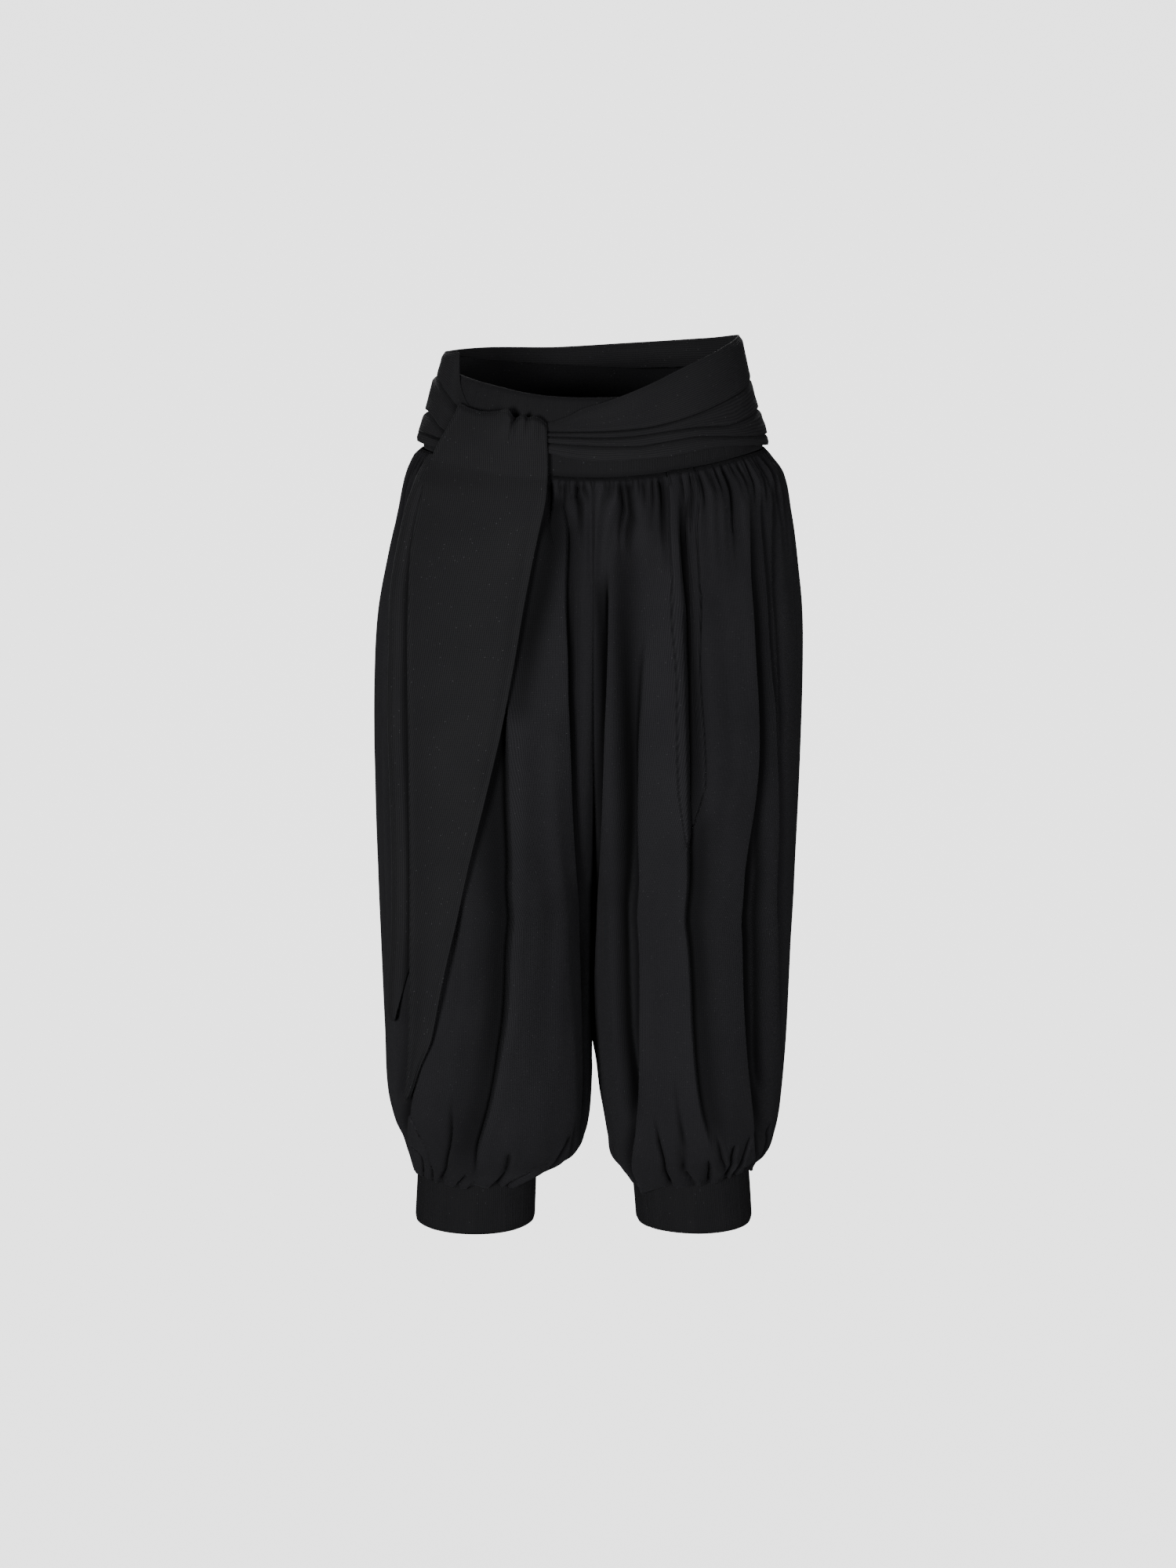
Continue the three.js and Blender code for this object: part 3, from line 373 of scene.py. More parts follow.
cuffSizes = {
    "right_cuff": {"topZ": -682, "topX": -102.0, "topHalf": 53.9, "topDepth": 51.7,
                   "lowZ": -738, "lowX": -104.0, "lowHalf": 54.6, "lowDepth": 53.0,
                   "seamTurn": 100},
    "left_cuff": {"topZ": -682, "topX": 91.0, "topHalf": 53.4, "topDepth": 51.7,
                  "lowZ": -738, "lowX": 95.5, "lowHalf": 52.8, "lowDepth": 52.0, "seamTurn": 308.2},
}


def cuffAt(side, z):
    size = cuffSizes["right_cuff" if side < 0 else "left_cuff"]
    f = (size["topZ"] - z) / (size["topZ"] - size["lowZ"])
    return [mixed(size["top" + part], size["low" + part], f) for part in ("X", "Half", "Depth")]


def waistSeam(face, share):
    c = np.clip(np.cos(np.asarray(share) * math.pi / 2), 0, 1)
    return -36 + (-18 * c ** 2.5 if face < 0 else 8 * c ** 2)


def quarterLength(a, b):
    return math.pi / 4 * (3 * (a + b) - np.sqrt((3 * a + b) * (a + 3 * b)))


def legSection(side, face, z):
    own = "right" if side < 0 else "left"
    turn = np.clip((legLowest - z) / 4, 0, 1)
    at = np.maximum(z, legLowest)
    x, half, depth = cuffAt(side, legSizes["end"])
    centre = side * (x - body["centreX"])
    depths = ("front", "seamFront") if face < 0 else ("back", "seamBack")
    keys = (own + "Side", own + "Inner", *depths, "full")
    sideX, inner, deep, seam, full = (curveAt(legCurve[key], at) for key in keys)
    return {
        "z": mixed(at, legSizes["end"], turn) - 2.2 * np.sin(math.pi * turn),
        "side": mixed(sideX, centre + half + 0.35, turn),
        "inner": mixed(inner + body["seamGap"] / 2, centre - half - 0.35, turn),
        "depth": mixed(deep, depth + 0.2, turn),
        "seam": seam, "full": full,
    }


def legPoint(side, face, share, z):  # the plain leg, without folds
    share, z = np.broadcast_arrays(np.asarray(share, float), np.asarray(z, float))
    c = legSection(side, face, z)
    middle = c["inner"] + (c["side"] - c["inner"]) * c["full"]
    flat = middle - c["inner"] < 1e-6
    bulge = np.maximum(c["depth"] - c["seam"], 0) + 1e-9
    innerLength = np.where(flat, 0, quarterLength(middle - c["inner"], bulge))
    split = innerLength / (innerLength + quarterLength(c["side"] - middle, c["depth"]))
    first = (1 - share / np.maximum(split, 1e-9)) * math.pi / 2
    second = (share - split) / (1 - split) * math.pi / 2
    inside = share < split
    x = np.where(inside, middle - (middle - c["inner"]) * np.sin(first),
                 middle + (c["side"] - middle) * np.sin(second))
    y = np.where(inside, c["seam"] + (c["depth"] - c["seam"]) * np.cos(first),
                 c["depth"] * np.cos(second))
    tilt = (waistSeam(face, share) + 36) * smoothStep(body["tiltEnd"], -36, z)
    y = face * (y + body["seamGap"] / 2)
    return np.stack([body["centreX"] + side * x, y, c["z"] + tilt], axis=-1)


def outward(point, side, face, share, z, reach=0.02):
    across = point(np.minimum(share + reach, 1), z) - point(np.maximum(share - reach, 0), z)
    down = point(share, z - 1.2) - point(share, z + 1.2)
    normal = np.cross(across, down) * side * face
    return normal / np.maximum(np.linalg.norm(normal, axis=-1, keepdims=True), 1e-9)


# Leg panels. A fold's path gives its place across the panel (0 at the centre seam,
# 1 at the side seam) at a few heights, and how strong it is there where that isn't 1.
# form 0 is an even trough, 1 a step down towards the side seam and -1 a step down
# towards the centre seam. pin lines up the mesh with the fold, lean is how far its
# crest hangs over its floor, and dark is how much painted shade darkens its floor and
# how deep a small crevice is cut along a step's foot.

foldColumns = ("form", "depth", "steep", "gentle", "pin", "lean", "dark", "path")
panels = {
    "left_leg_front": {
        "side": 1, "face": -1, "seed": 11, "columns": 290, "seamEdge": 0.016,
        "folds": [
            (-1, 10, 2.6, 24, 1, 1.2, 1, [
                (-110, 0.11, 0.2), (-150, 0.113, 0.6), (-190, 0.115, 0.9), (-223, 0.114),
                (-275, 0.11), (-358, 0.114), (-406, 0.113), (-471, 0.1), (-534, 0.066, 0.8),
                (-580, 0.03, 0.2)]),
            (0, 9, 8, 10, 1, 0, 1, [
                (-60, 0.12, 0.2), (-120, 0.152, 0.5), (-171, 0.163, 0.7), (-240, 0.175, 0.9),
                (-286, 0.182), (-356, 0.197), (-425, 0.221), (-496, 0.236), (-544, 0.246),
                (-592, 0.26), (-630, 0.25, 0.8), (-660, 0.22, 0.5)]),
            (-1, 6.5, 2.6, 14, 1, 1.4, 0.45, [
                (-170, 0.223, 0.3), (-240, 0.225, 0.8), (-285, 0.226), (-350, 0.247),
                (-422, 0.297), (-469, 0.315), (-517, 0.32), (-565, 0.32), (-602, 0.307),
                (-641, 0.282, 1.4), (-671, 0.243, 1.5), (-694, 0.19, 1.2)]),
            (1, 7.5, 3, 13, 1, 1.6, 0.65, [
                (-44, 0.295), (-97, 0.292), (-134, 0.292), (-171, 0.295), (-217, 0.307),
                (-261, 0.32), (-307, 0.34), (-348, 0.367, 0.7), (-395, 0.413, 0.3),
                (-441, 0.46, 0), (-489, 0.48, 0), (-537, 0.492, 0), (-605, 0.52, 0),
                (-649, 0.565, 0)]),
            (1, 5, 3.2, 24, 0, 0.8, 0.6, [
                (-320, 0.35, 0.2), (-360, 0.377, 0.8), (-395, 0.413), (-441, 0.46), (-489, 0.48),
                (-537, 0.492, 0.9), (-605, 0.52, 0.8), (-655, 0.57, 0.5)]),
            (-1, 5.5, 2.6, 8, 1, 1, 0.25, [
                (-42, 0.362, 0.6), (-86, 0.35), (-123, 0.35), (-171, 0.342), (-205, 0.34),
                (-239, 0.347, 0.8), (-273, 0.362, 0.5), (-320, 0.385, 0.1)]),
            (1, 7, 3.4, 15, 1, 1.2, 0.8, [
                (-50, 0.6, 0.3), (-106, 0.575, 0.5), (-140, 0.566, 0.7), (-174, 0.565, 0.9),
                (-208, 0.57), (-242, 0.583), (-288, 0.6), (-330, 0.606), (-369, 0.603),
                (-397, 0.61), (-425, 0.633), (-456, 0.647), (-492, 0.657), (-528, 0.67),
                (-565, 0.688), (-603, 0.715), (-638, 0.748), (-672, 0.79, 0.5)]),
            (0, 5, 8, 8, 0, 0, 0.8, [
                (-300, 0.635, 0.2), (-352, 0.652, 0.7), (-423, 0.702), (-470, 0.722),
                (-519, 0.738), (-569, 0.758), (-619, 0.795, 0.5)]),
            (1, 5, 2.4, 10, 1, 1.8, 0.2, [
                (-46, 0.68, 0.4), (-86, 0.648, 0.8), (-120, 0.638), (-181, 0.637), (-221, 0.65),
                (-256, 0.672), (-291, 0.69), (-370, 0.738), (-403, 0.755), (-451, 0.79),
                (-501, 0.815), (-552, 0.85), (-592, 0.893), (-640, 0.93, 0.6)]),
            (1, 3.6, 2.2, 8, 0, 1.2, 0.1, [
                (-52, 0.76, 0.5), (-98, 0.71), (-155, 0.677), (-177, 0.677), (-211, 0.684),
                (-245, 0.697), (-300, 0.72, 0.4)]),
            (1, 4, 2.4, 9, 0, 1.2, 0.1, [
                (-50, 0.94, 0.5), (-75, 0.9), (-104, 0.885), (-137, 0.855), (-170, 0.828),
                (-205, 0.835), (-258, 0.853, 0.5), (-320, 0.88, 0.1)]),
            (0, 1.8, 9, 10, 0, 0, 0, [(-130, 0.44), (-230, 0.47), (-330, 0.52)]),
        ],
    },
    "right_leg_front": {
        "side": -1, "face": -1, "seed": 37, "columns": 290, "seamEdge": 0.03,
        "folds": [
            (-1, 10.5, 2.6, 12, 1, 2, 0.95, [
                (-38, 0.098, 0.35), (-84, 0.13, 0.5), (-133, 0.152, 0.5), (-171, 0.158, 0.6),
                (-206, 0.156, 0.7), (-240, 0.158, 0.8), (-274, 0.158, 0.9), (-316, 0.16),
                (-375, 0.164), (-433, 0.165), (-470, 0.16), (-506, 0.153), (-543, 0.145),
                (-580, 0.138), (-631, 0.134), (-665, 0.128, 0.5)]),
            (0, 7, 15, 20, 0, 0, 1, [
                (-400, 0.1, 0.1), (-470, 0.1, 0.8), (-540, 0.085), (-620, 0.075),
                (-665, 0.08, 0.3)]),
            (0, 3, 5, 4, 0, 0, 0.15, [
                (-44, 0.072, 0.6), (-94, 0.112), (-179, 0.118), (-240, 0.12, 0.7)]),
            (1, 11.5, 3, 32, 1, 2.4, 0.6, [
                (-130, 0.27, 0.2), (-180, 0.285, 0.6), (-232, 0.296), (-300, 0.312), (-352, 0.335),
                (-387, 0.357), (-422, 0.39), (-457, 0.41), (-502, 0.419), (-529, 0.428),
                (-555, 0.445, 0.9), (-590, 0.468, 0.8), (-612, 0.487, 0.8), (-632, 0.512, 0.8),
                (-656, 0.542, 0.8), (-682, 0.548, 0.7), (-697, 0.55, 0.6)]),
            (0, 5, 12, 12, 0, 0, 0, [(-60, 0.5), (-300, 0.56), (-560, 0.62)]),
            (1, 5, 3, 18, 1, 1.4, 0, [
                (-80, 0.7), (-200, 0.71), (-330, 0.73), (-450, 0.76, 0.6), (-520, 0.78, 0.2)]),
            (1, 6.5, 2.6, 15, 1, 1.6, 0.6, [
                (-500, 0.68, 0.2), (-552, 0.708, 0.7), (-582, 0.725), (-614, 0.763), (-645, 0.82),
                (-659, 0.86, 0.9), (-690, 0.88, 0.5)]),
            (0, 4, 6, 9, 0, 0, 0, [(-60, 0.86), (-200, 0.87), (-420, 0.88), (-560, 0.91)]),
            (0, 2.4, 9, 10, 0, 0, 0, [(-500, 0.54), (-580, 0.57), (-650, 0.62)]),
            (0, -5, 11, 40, 0, 0, 0, [
                (-230, 0.21), (-300, 0.22), (-450, 0.24), (-560, 0.22), (-660, 0.2)]),
            (0, 4.5, 9, 15, 0, 0, 0.75, [
                (-38, 0.122), (-48, 0.124), (-72, 0.148), (-103, 0.175), (-149, 0.212),
                (-186, 0.242), (-226, 0.268, 0.7), (-269, 0.298, 0.4)]),
            (0, 1.8, 9, 12, 0, 0, 0, [(-250, 0.225), (-420, 0.28), (-600, 0.31)]),
        ],
    },
    "left_leg_back": {
        "side": 1, "face": 1, "seed": 61, "columns": 200, "seamEdge": 0.05,
        "folds": [
            (0, 6.5, 8, 12, 1, 0, 0.3, [
                (-50, 0.12), (-150, 0.15), (-240, 0.17), (-440, 0.22), (-600, 0.25), (-680, 0.26)]),
            (1, 8, 3.6, 30, 1, 2, 0.3, [
                (-40, 0.27), (-160, 0.285), (-240, 0.3), (-340, 0.34), (-440, 0.44), (-560, 0.48),
                (-670, 0.54)]),
            (-1, 7, 3.4, 26, 1, 1.8, 0.3, [
                (-60, 0.56), (-150, 0.55), (-240, 0.56), (-440, 0.64), (-640, 0.66)]),
            (1, 5.5, 3.2, 18, 1, 1.6, 0.3, [
                (-60, 0.72), (-240, 0.7), (-340, 0.72), (-440, 0.76), (-560, 0.8), (-660, 0.86)]),
            (0, 4, 3, 6, 0, 0, 0, [(-38, 0.44), (-150, 0.43), (-260, 0.45)]),
            (0, 3, 5, 9, 0, 0, 0, [(-300, 0.08), (-520, 0.1), (-650, 0.12)]),
            (0, 3, 7, 12, 0, 0, 0, [(-360, 0.56), (-520, 0.58), (-640, 0.6)]),
        ],
    },
    "right_leg_back": {
        "side": -1, "face": 1, "seed": 83, "columns": 200, "seamEdge": 0.05,
        "folds": [
            (0, 6.5, 8, 12, 1, 0, 0.3, [
                (-50, 0.1), (-240, 0.13), (-440, 0.17), (-560, 0.19), (-670, 0.2)]),
            (1, 8.5, 3.6, 32, 1, 2.2, 0.3, [
                (-40, 0.22), (-150, 0.24), (-240, 0.27), (-340, 0.31), (-440, 0.41), (-560, 0.44),
                (-672, 0.49)]),
            (1, 6.5, 3.4, 24, 1, 1.8, 0.3, [
                (-90, 0.5), (-240, 0.52), (-340, 0.55), (-440, 0.62), (-560, 0.65), (-660, 0.7)]),
            (-1, 6, 3.2, 22, 1, 1.6, 0.3, [(-50, 0.78), (-240, 0.8), (-440, 0.82), (-620, 0.86)]),
            (0, 4, 3, 6, 0, 0, 0, [(-38, 0.36), (-120, 0.37), (-230, 0.39)]),
            (0, 3, 5, 9, 0, 0, 0, [(-320, 0.07), (-500, 0.09), (-650, 0.1)]),
            (0, 3, 7, 12, 0, 0, 0, [(-280, 0.66), (-430, 0.72), (-600, 0.78)]),
        ],
    },
}

# Gathers under the waistband: at is the place on the seam, end where one has faded
# out, reach mm away
waistGathers = {
    "left_leg_front": [
        (0.062, 0.06, 30, 2.5), (0.1, 0.15, 84, 5), (0.127, 0.185, 118, 5.2),
        (0.181, 0.19, 30, 2.6), (0.215, 0.215, 52, 2.2), (0.245, 0.256, 96, 6),
        (0.325, 0.325, 36, 2.6), (0.362, 0.35, 80, 4), (0.402, 0.4, 48, 2.8),
        (0.45, 0.456, 34, 2.6), (0.478, 0.475, 40, 2.4), (0.517, 0.514, 104, 6),
        (0.56, 0.565, 40, 2.6), (0.595, 0.595, 30, 2.4), (0.652, 0.625, 50, 3),
        (0.715, 0.69, 60, 3), (0.74, 0.73, 36, 2.6), (0.8, 0.77, 60, 3.6), (0.86, 0.84, 56, 3.6),
        (0.9, 0.89, 40, 2.6), (0.942, 0.93, 64, 3.2),
    ],
    "right_leg_front": [
        (0.034, 0.048, 22, 2.4), (0.056, 0.104, 76, 5), (0.12, 0.118, 24, 2.8),
        (0.1, 0.146, 96, 3.2), (0.156, 0.168, 70, 7), (0.22, 0.222, 46, 2.8),
        (0.262, 0.262, 76, 3.8), (0.31, 0.31, 54, 3.2), (0.36, 0.362, 40, 2.6),
        (0.42, 0.42, 76, 3.8), (0.47, 0.47, 36, 2.6), (0.52, 0.522, 66, 3.4),
        (0.58, 0.58, 46, 2.8), (0.632, 0.64, 86, 3.8), (0.69, 0.69, 46, 2.8),
        (0.742, 0.742, 66, 3.6), (0.79, 0.8, 56, 3.2), (0.832, 0.838, 36, 2.6),
        (0.876, 0.88, 96, 4.4), (0.925, 0.928, 66, 3.4), (0.966, 0.966, 46, 2.6),
    ],
}

# Pinched lines above the cuffs, with a raised lip beside them: on the side seam's side
# where lip is above 0. Paths as for the folds.
slitColumns = ("depth", "width", "lip", "path")
cuffSlits = {
    "left_leg_front": [
        (6, 7, 1.2, [
            (-596, 0.285, 0), (-611, 0.278, 0.6), (-642, 0.268), (-682, 0.208), (-697, 0.19)]),
        (5, 6, 0.8, [
            (-618, 0.36, 0), (-635, 0.366, 0.6), (-645, 0.37), (-670, 0.39), (-697, 0.392)]),
        (5.5, 7, 1, [
            (-575, 0.435, 0), (-620, 0.452, 0.5), (-640, 0.456), (-662, 0.46), (-675, 0.475),
            (-686, 0.5, 0.8), (-697, 0.515, 0.6)]),
        (5.5, 5.5, 1, [(-659, 0.562, 0), (-664, 0.566, 0.8), (-672, 0.575), (-697, 0.592)]),
        (4.5, 6, 0.6, [
            (-630, 0.578, 0), (-640, 0.59, 0.5), (-661, 0.618), (-670, 0.64, 0.9),
            (-682, 0.655, 0)]),
        (5, 5.5, 0.9, [(-646, 0.665, 0), (-652, 0.66), (-660, 0.66), (-672, 0.672), (-697, 0.69)]),
        (4, 5.5, 1, [(-640, 0.735, 0), (-648, 0.728, 0.8), (-666, 0.72), (-697, 0.74)]),
        (4, 5.5, -0.9, [
            (-638, 0.748, 0), (-646, 0.762, 0.8), (-660, 0.79), (-672, 0.82), (-697, 0.83)]),
        (4, 5, 0.9, [(-636, 0.872, 0), (-645, 0.85), (-657, 0.868), (-697, 0.88)]),
        (3.4, 6, 0.5, [(-655, 0.1, 0), (-675, 0.09), (-697, 0.09)]),
        (3.5, 6, 0.5, [(-660, 0.94, 0), (-680, 0.93), (-697, 0.93)]),
    ],
    "right_leg_front": [
        (5.5, 6.5, -0.8, [
            (-596, 0.61, 0), (-614, 0.62, 0.4), (-629, 0.63, 0.8), (-646, 0.647), (-667, 0.68),
            (-697, 0.688)]),
        (3.5, 5, 0.9, [
            (-655, 0.86, 0), (-660, 0.83, 0.8), (-667, 0.8), (-680, 0.805), (-697, 0.81)]),
        (3.5, 5, 0.8, [(-674, 0.77, 0), (-682, 0.755), (-697, 0.745)]),
        (5, 6, -0.8, [
            (-653, 0.44, 0), (-657, 0.441, 0.8), (-667, 0.441), (-678, 0.43), (-690, 0.4),
            (-697, 0.385)]),
        (5.5, 7, 1.4, [
            (-642, 0.21, 0), (-651, 0.215, 0.8), (-660, 0.225), (-672, 0.235), (-684, 0.25),
            (-697, 0.29, 0.8)]),
        (3, 5, 0.8, [
            (-630, 0.195, 0), (-640, 0.19, 0.8), (-657, 0.175), (-678, 0.13), (-697, 0.12)]),
        (3.6, 5.5, 0.5, [(-672, 0.33, 0), (-682, 0.335), (-697, 0.335)]),
        (3.5, 5, 0.5, [(-676, 0.59, 0), (-684, 0.585), (-697, 0.6)]),
        (3.4, 6, 0.5, [(-662, 0.06, 0), (-680, 0.06), (-697, 0.06)]),
        (3.4, 5.5, 0.5, [(-668, 0.92, 0), (-682, 0.92), (-697, 0.92)]),
    ],
}
hems = {  # how much higher the lower edge hangs across the panel
    "left_leg_front": [
        (0, 0), (0.08, -1), (0.15, -4), (0.2, -7), (0.242, -8), (0.29, -3.5), (0.34, 0), (0.37, 1),
        (0.45, 2), (0.52, 2.5), (0.56, 4), (0.6, 4), (0.66, 6), (0.72, 7), (0.78, 9), (0.88, 7),
        (1, 4),
    ],
    "right_leg_front": [
        (0, 2), (0.1, 3), (0.15, 4), (0.24, 0), (0.285, -2), (0.34, 0), (0.42, 4), (0.438, 1),
        (0.508, 5), (0.535, 3), (0.55, 0), (0.6, 0), (0.662, 3), (0.72, 2), (0.78, 6), (0.85, 6),
        (1, 4),
    ],
}


def unevenGathers(count, seed, reach, depth):
    rows = []
    for i in range(count):
        at = (i + 0.5 + 0.55 * (uneven(seed + i) - 0.5)) / count
        end = at + 0.02 * (uneven(seed + 5 + i) - 0.5)
        far = reach * (0.4 + 1.2 * uneven(seed + 9 + i) ** 2)
        rows.append((at, end, far, depth * (0.75 + 0.5 * uneven(seed + 17 + i))))
    return rows


def withStrength(columns, row):
    item = dict(zip(columns, row))
    item["strength"] = [(point[0], point[2] if len(point) > 2 else 1) for point in item["path"]]
    item["path"] = [point[:2] for point in item["path"]]
    return item


def backSlits(panel):
    rows = []
    for at, end, reach, depth in unevenGathers(legSizes["backCuff"], panel["seed"] + 200, 45, 4.6):
        path = [(-688 + reach, end, 0), (-688 + 0.5 * reach, mixed(at, end, 0.5)), (-697, at)]
        rows.append((depth, 6, 0.7 * math.copysign(1, at - end), path))
    return rows


for name, panel in panels.items():
    panel["folds"] = [withStrength(foldColumns, row) for row in panel["folds"]]
    seed = panel["seed"]
    panel["waist"] = waistGathers.get(name) or unevenGathers(legSizes["backWaist"], seed, 70, 3.8)
    slits = cuffSlits.get(name) or backSlits(panel)
    panel["slits"] = [withStrength(slitColumns, row) for row in slits]
    panel["hem"] = hems.get(name) or [(i / 9, 5 * uneven(seed + 31 * i) - 2) for i in range(10)]


def foldForm(fold, distance):  # 1 at a fold's floor
    if fold["form"] == 0:
        return hump(distance, np.where(distance < 0, fold["steep"], fold["gentle"]))
    down = fold["form"] * distance
    floor = smoothStep(-0.3 * fold["steep"], fold["steep"], down)
    floor = floor * hump(np.maximum(down - fold["steep"], 0), fold["gentle"])
    crevice = 0.3 * fold["dark"] * hump(down - 0.9 * fold["steep"], 1.7)
    return floor + crevice - 0.14 * hump(down + fold["steep"] + 1, fold["steep"] + 5)


def foldFade(fold, z):
    start, stop = fold["path"][0][0], fold["path"][-1][0]
    tail = 0.1 * (start - stop)
    fade = smoothStep(0, tail, start - z) * smoothStep(0, tail, z - stop)
    return np.where((z >= start) | (z <= stop), 0, fade) * curveAt(fold["strength"], z)


# How far in or out the cloth lies, how far its crests lean, how far its lower edge rises
# and how much painted shade darkens its folds, gathers, creases and the waist seam.
def foldDepth(panel, share, z, length):
    depth = np.zeros_like(share)
    lean = np.zeros_like(share)
    paintedShade = np.zeros_like(share)
    for fold in panel["folds"]:
        fade = foldFade(fold, z)
        distance = (share - curveAt(fold["path"], z)) * length
        form = foldForm(fold, distance)
        depth -= fold["depth"] * fade * form
        down = fold["form"] * distance - fold["steep"]
        # painted shade: each fold's floor and the foot of its step are darkened
        line = 0
        if fold["form"]:
            wide = smoothStep(-fold["steep"], 0, down)
            wide = wide * (1 - smoothStep(0.3 * fold["gentle"], 1.3 * fold["gentle"], down))
            line = (0.15 + 0.6 * fold["dark"]) * hump(down, 2.6)
            line = line + (0.15 + 0.8 * fold["dark"]) * wide
        paintedShade = np.maximum(paintedShade, fade * np.maximum(line, fold["dark"] * form))
        if fold["lean"]:
            crest = hump(distance + fold["form"] * 0.4 * fold["steep"], 1.3 * fold["steep"])
            lean += fold["form"] * fold["lean"] * fade * crest
    for at, end, reach, deep in panel["waist"]:
        far = np.clip((-40 - z) / reach, 0, 1)
        fade = smoothStep(-36, -43, z) * (1 - smoothStep(0.15, 1, far))
        distance = (share - mixed(at, end, far)) * length
        depth -= 1.5 * deep * fade * cleft(distance, 3.2 + 0.5 * deep + 3 * far)
        # painted shade along each gather's line
        shadow = fade * (0.35 + 0.1 * deep)
        paintedShade = np.maximum(paintedShade, shadow * hump(distance, 1.2 + 0.3 * deep + 0.6 * far))
    for i in range(legSizes["tucks"]):
        seed = panel["seed"] + 400 + i
        place = (i + 0.5 + 0.8 * (uneven(seed) - 0.5)) / legSizes["tucks"]
        reach = 8 + 22 * uneven(seed + 9)
        fade = smoothStep(-35.5, -40, z) * (1 - smoothStep(-40, -42 - reach, z))
        depth -= (1.0 + 1.4 * uneven(seed + 17)) * fade * cleft((share - place) * length, 2.6)
        # painted shade in each tuck
        paintedShade = np.maximum(paintedShade, 0.7 * fade * hump((share - place) * length, 0.8))
    pinch = np.zeros_like(share)
    near = np.zeros_like(share)
    for slit in panel["slits"]:
        start, stop = slit["path"][0][0], slit["path"][-1][0]
        fade = np.where((z > start) | (z < stop), 0, curveAt(slit["strength"], z))
        fade = fade * (1 - smoothStep(-692, -697.4, z))
        distance = (share - curveAt(slit["path"], z)) * length
        lipSide = math.copysign(0.75 * slit["width"], slit["lip"])
        depth -= slit["depth"] * fade * cleft(distance, slit["width"])
        depth += abs(slit["lip"]) * fade * hump(distance - lipSide, 0.4 * slit["width"])
        # painted shade in each pinched line
        shadow = fade * min(1, slit["depth"] / 5)
        paintedShade = np.maximum(paintedShade, shadow * hump(distance, 0.3 * slit["width"]))
        pinched = fade * hump(distance, 0.4 * slit["width"]) * smoothStep(-668, -690, z)
        pinch = np.maximum(pinch, pinched)
        near = np.maximum(near, fade * hump(distance, 1.5 * slit["width"]))
    swell = smoothStep(-60, -120, z) * (1 - smoothStep(-640, -690, z))
    depth += 0.9 * swell * np.sin(share * 17 + panel["seed"] + z / 90)
    depth += 0.35 * swell * np.sin(share * 61 + panel["seed"] * 2 + z / 37)
    bunched = smoothStep(-36, -52, z) * (1 - smoothStep(-70, -150, z))
    waves = np.sin(share * 96 + 3.6 * np.sin(share * 17 + panel["seed"]))
    waves = waves * (0.4 + 0.6 * np.sin(share * 11 + panel["seed"]) ** 2)
    depth += 1.5 * bunched * waves
    # painted shade in the troughs of the bunched cloth under the waist
    paintedShade = np.maximum(paintedShade, 0.25 * bunched * smoothStep(0.2, -1, waves))
    edge = smoothStep(0, panel["seamEdge"], share) * smoothStep(0, 0.03, 1 - share)
    lobes = 2.8 * smoothStep(-650, -684, z) * (1 - smoothStep(-692, -697, z))
    depth += lobes * (1 - near)  # round between the pinches
    rise = smoothStep(-664, -692, z) * edge * (2 * pinch + curveAt(panel["hem"], share))
    # painted shade: a dark line along the waist seam, under the waistband's lower edge
    seam = hump(z + 37, 2.2) * 0.8
    paintedShade = np.clip(paintedShade, 0, 1) * smoothStep(0, 0.03, 1 - share)
    depth = np.maximum(depth, legSizes["deepest"]) * edge
    return depth, lean * edge, rise, np.maximum(paintedShade, seam)


# The columns' places along a row, close together at pinned folds.
def pinnedShares(panel, z, length):
    offsets = np.array([-6.5, -5, -3.8, -2.9, -2.2, -1.6, -1.0, -0.5, 0,
                        0.5, 1.0, 1.6, 2.2, 2.9, 3.8, 5, 7])
    pins = [fold for fold in panel["folds"] if fold["pin"]]
    paths = []
    for fold in pins:
        low, high = fold["path"][-1][0], fold["path"][0][0]
        paths.append(curveAt(fold["path"], np.clip(z, low, high)))
    order = sorted(range(len(pins)), key=lambda i: float(np.mean(paths[i])))
    paths = [paths[i] for i in order]
    signs = [pins[i]["form"] or 1 for i in order]
    stops = [np.zeros_like(z)] + paths + [np.ones_like(z)]
    free = panel["columns"] - len(pins) * len(offsets)
    gaps = [float(np.mean(b - a)) for a, b in zip(stops[:-1], stops[1:])]
    counts = [max(4, round(free * gap / sum(gaps))) for gap in gaps]
    columns = []
    lastEnd = np.zeros_like(z)
    for i, path in enumerate(paths):
        near = np.minimum(path - stops[i], stops[i + 2] - path) * 0.42
        scale = np.minimum(near, 7.5 / length) / 7.5
        places = [path + signs[i] * o * scale for o in (offsets if signs[i] > 0 else offsets[::-1])]
        for k in range(counts[i]):
            columns.append(mixed(lastEnd, places[0], k / counts[i]))
        columns += places[:-1]
        lastEnd = places[-1]
    for k in range(counts[-1] + 1):
        columns.append(mixed(lastEnd, np.ones_like(z), k / counts[-1]))
    return np.stack(columns, axis=1)


def sectionLength(side, face, z):
    shares = np.linspace(0, 1, 13)[None, :]
    points = legPoint(side, face, shares, z[:, None])
    return np.linalg.norm(np.diff(points, axis=1), axis=-1).sum(axis=1)


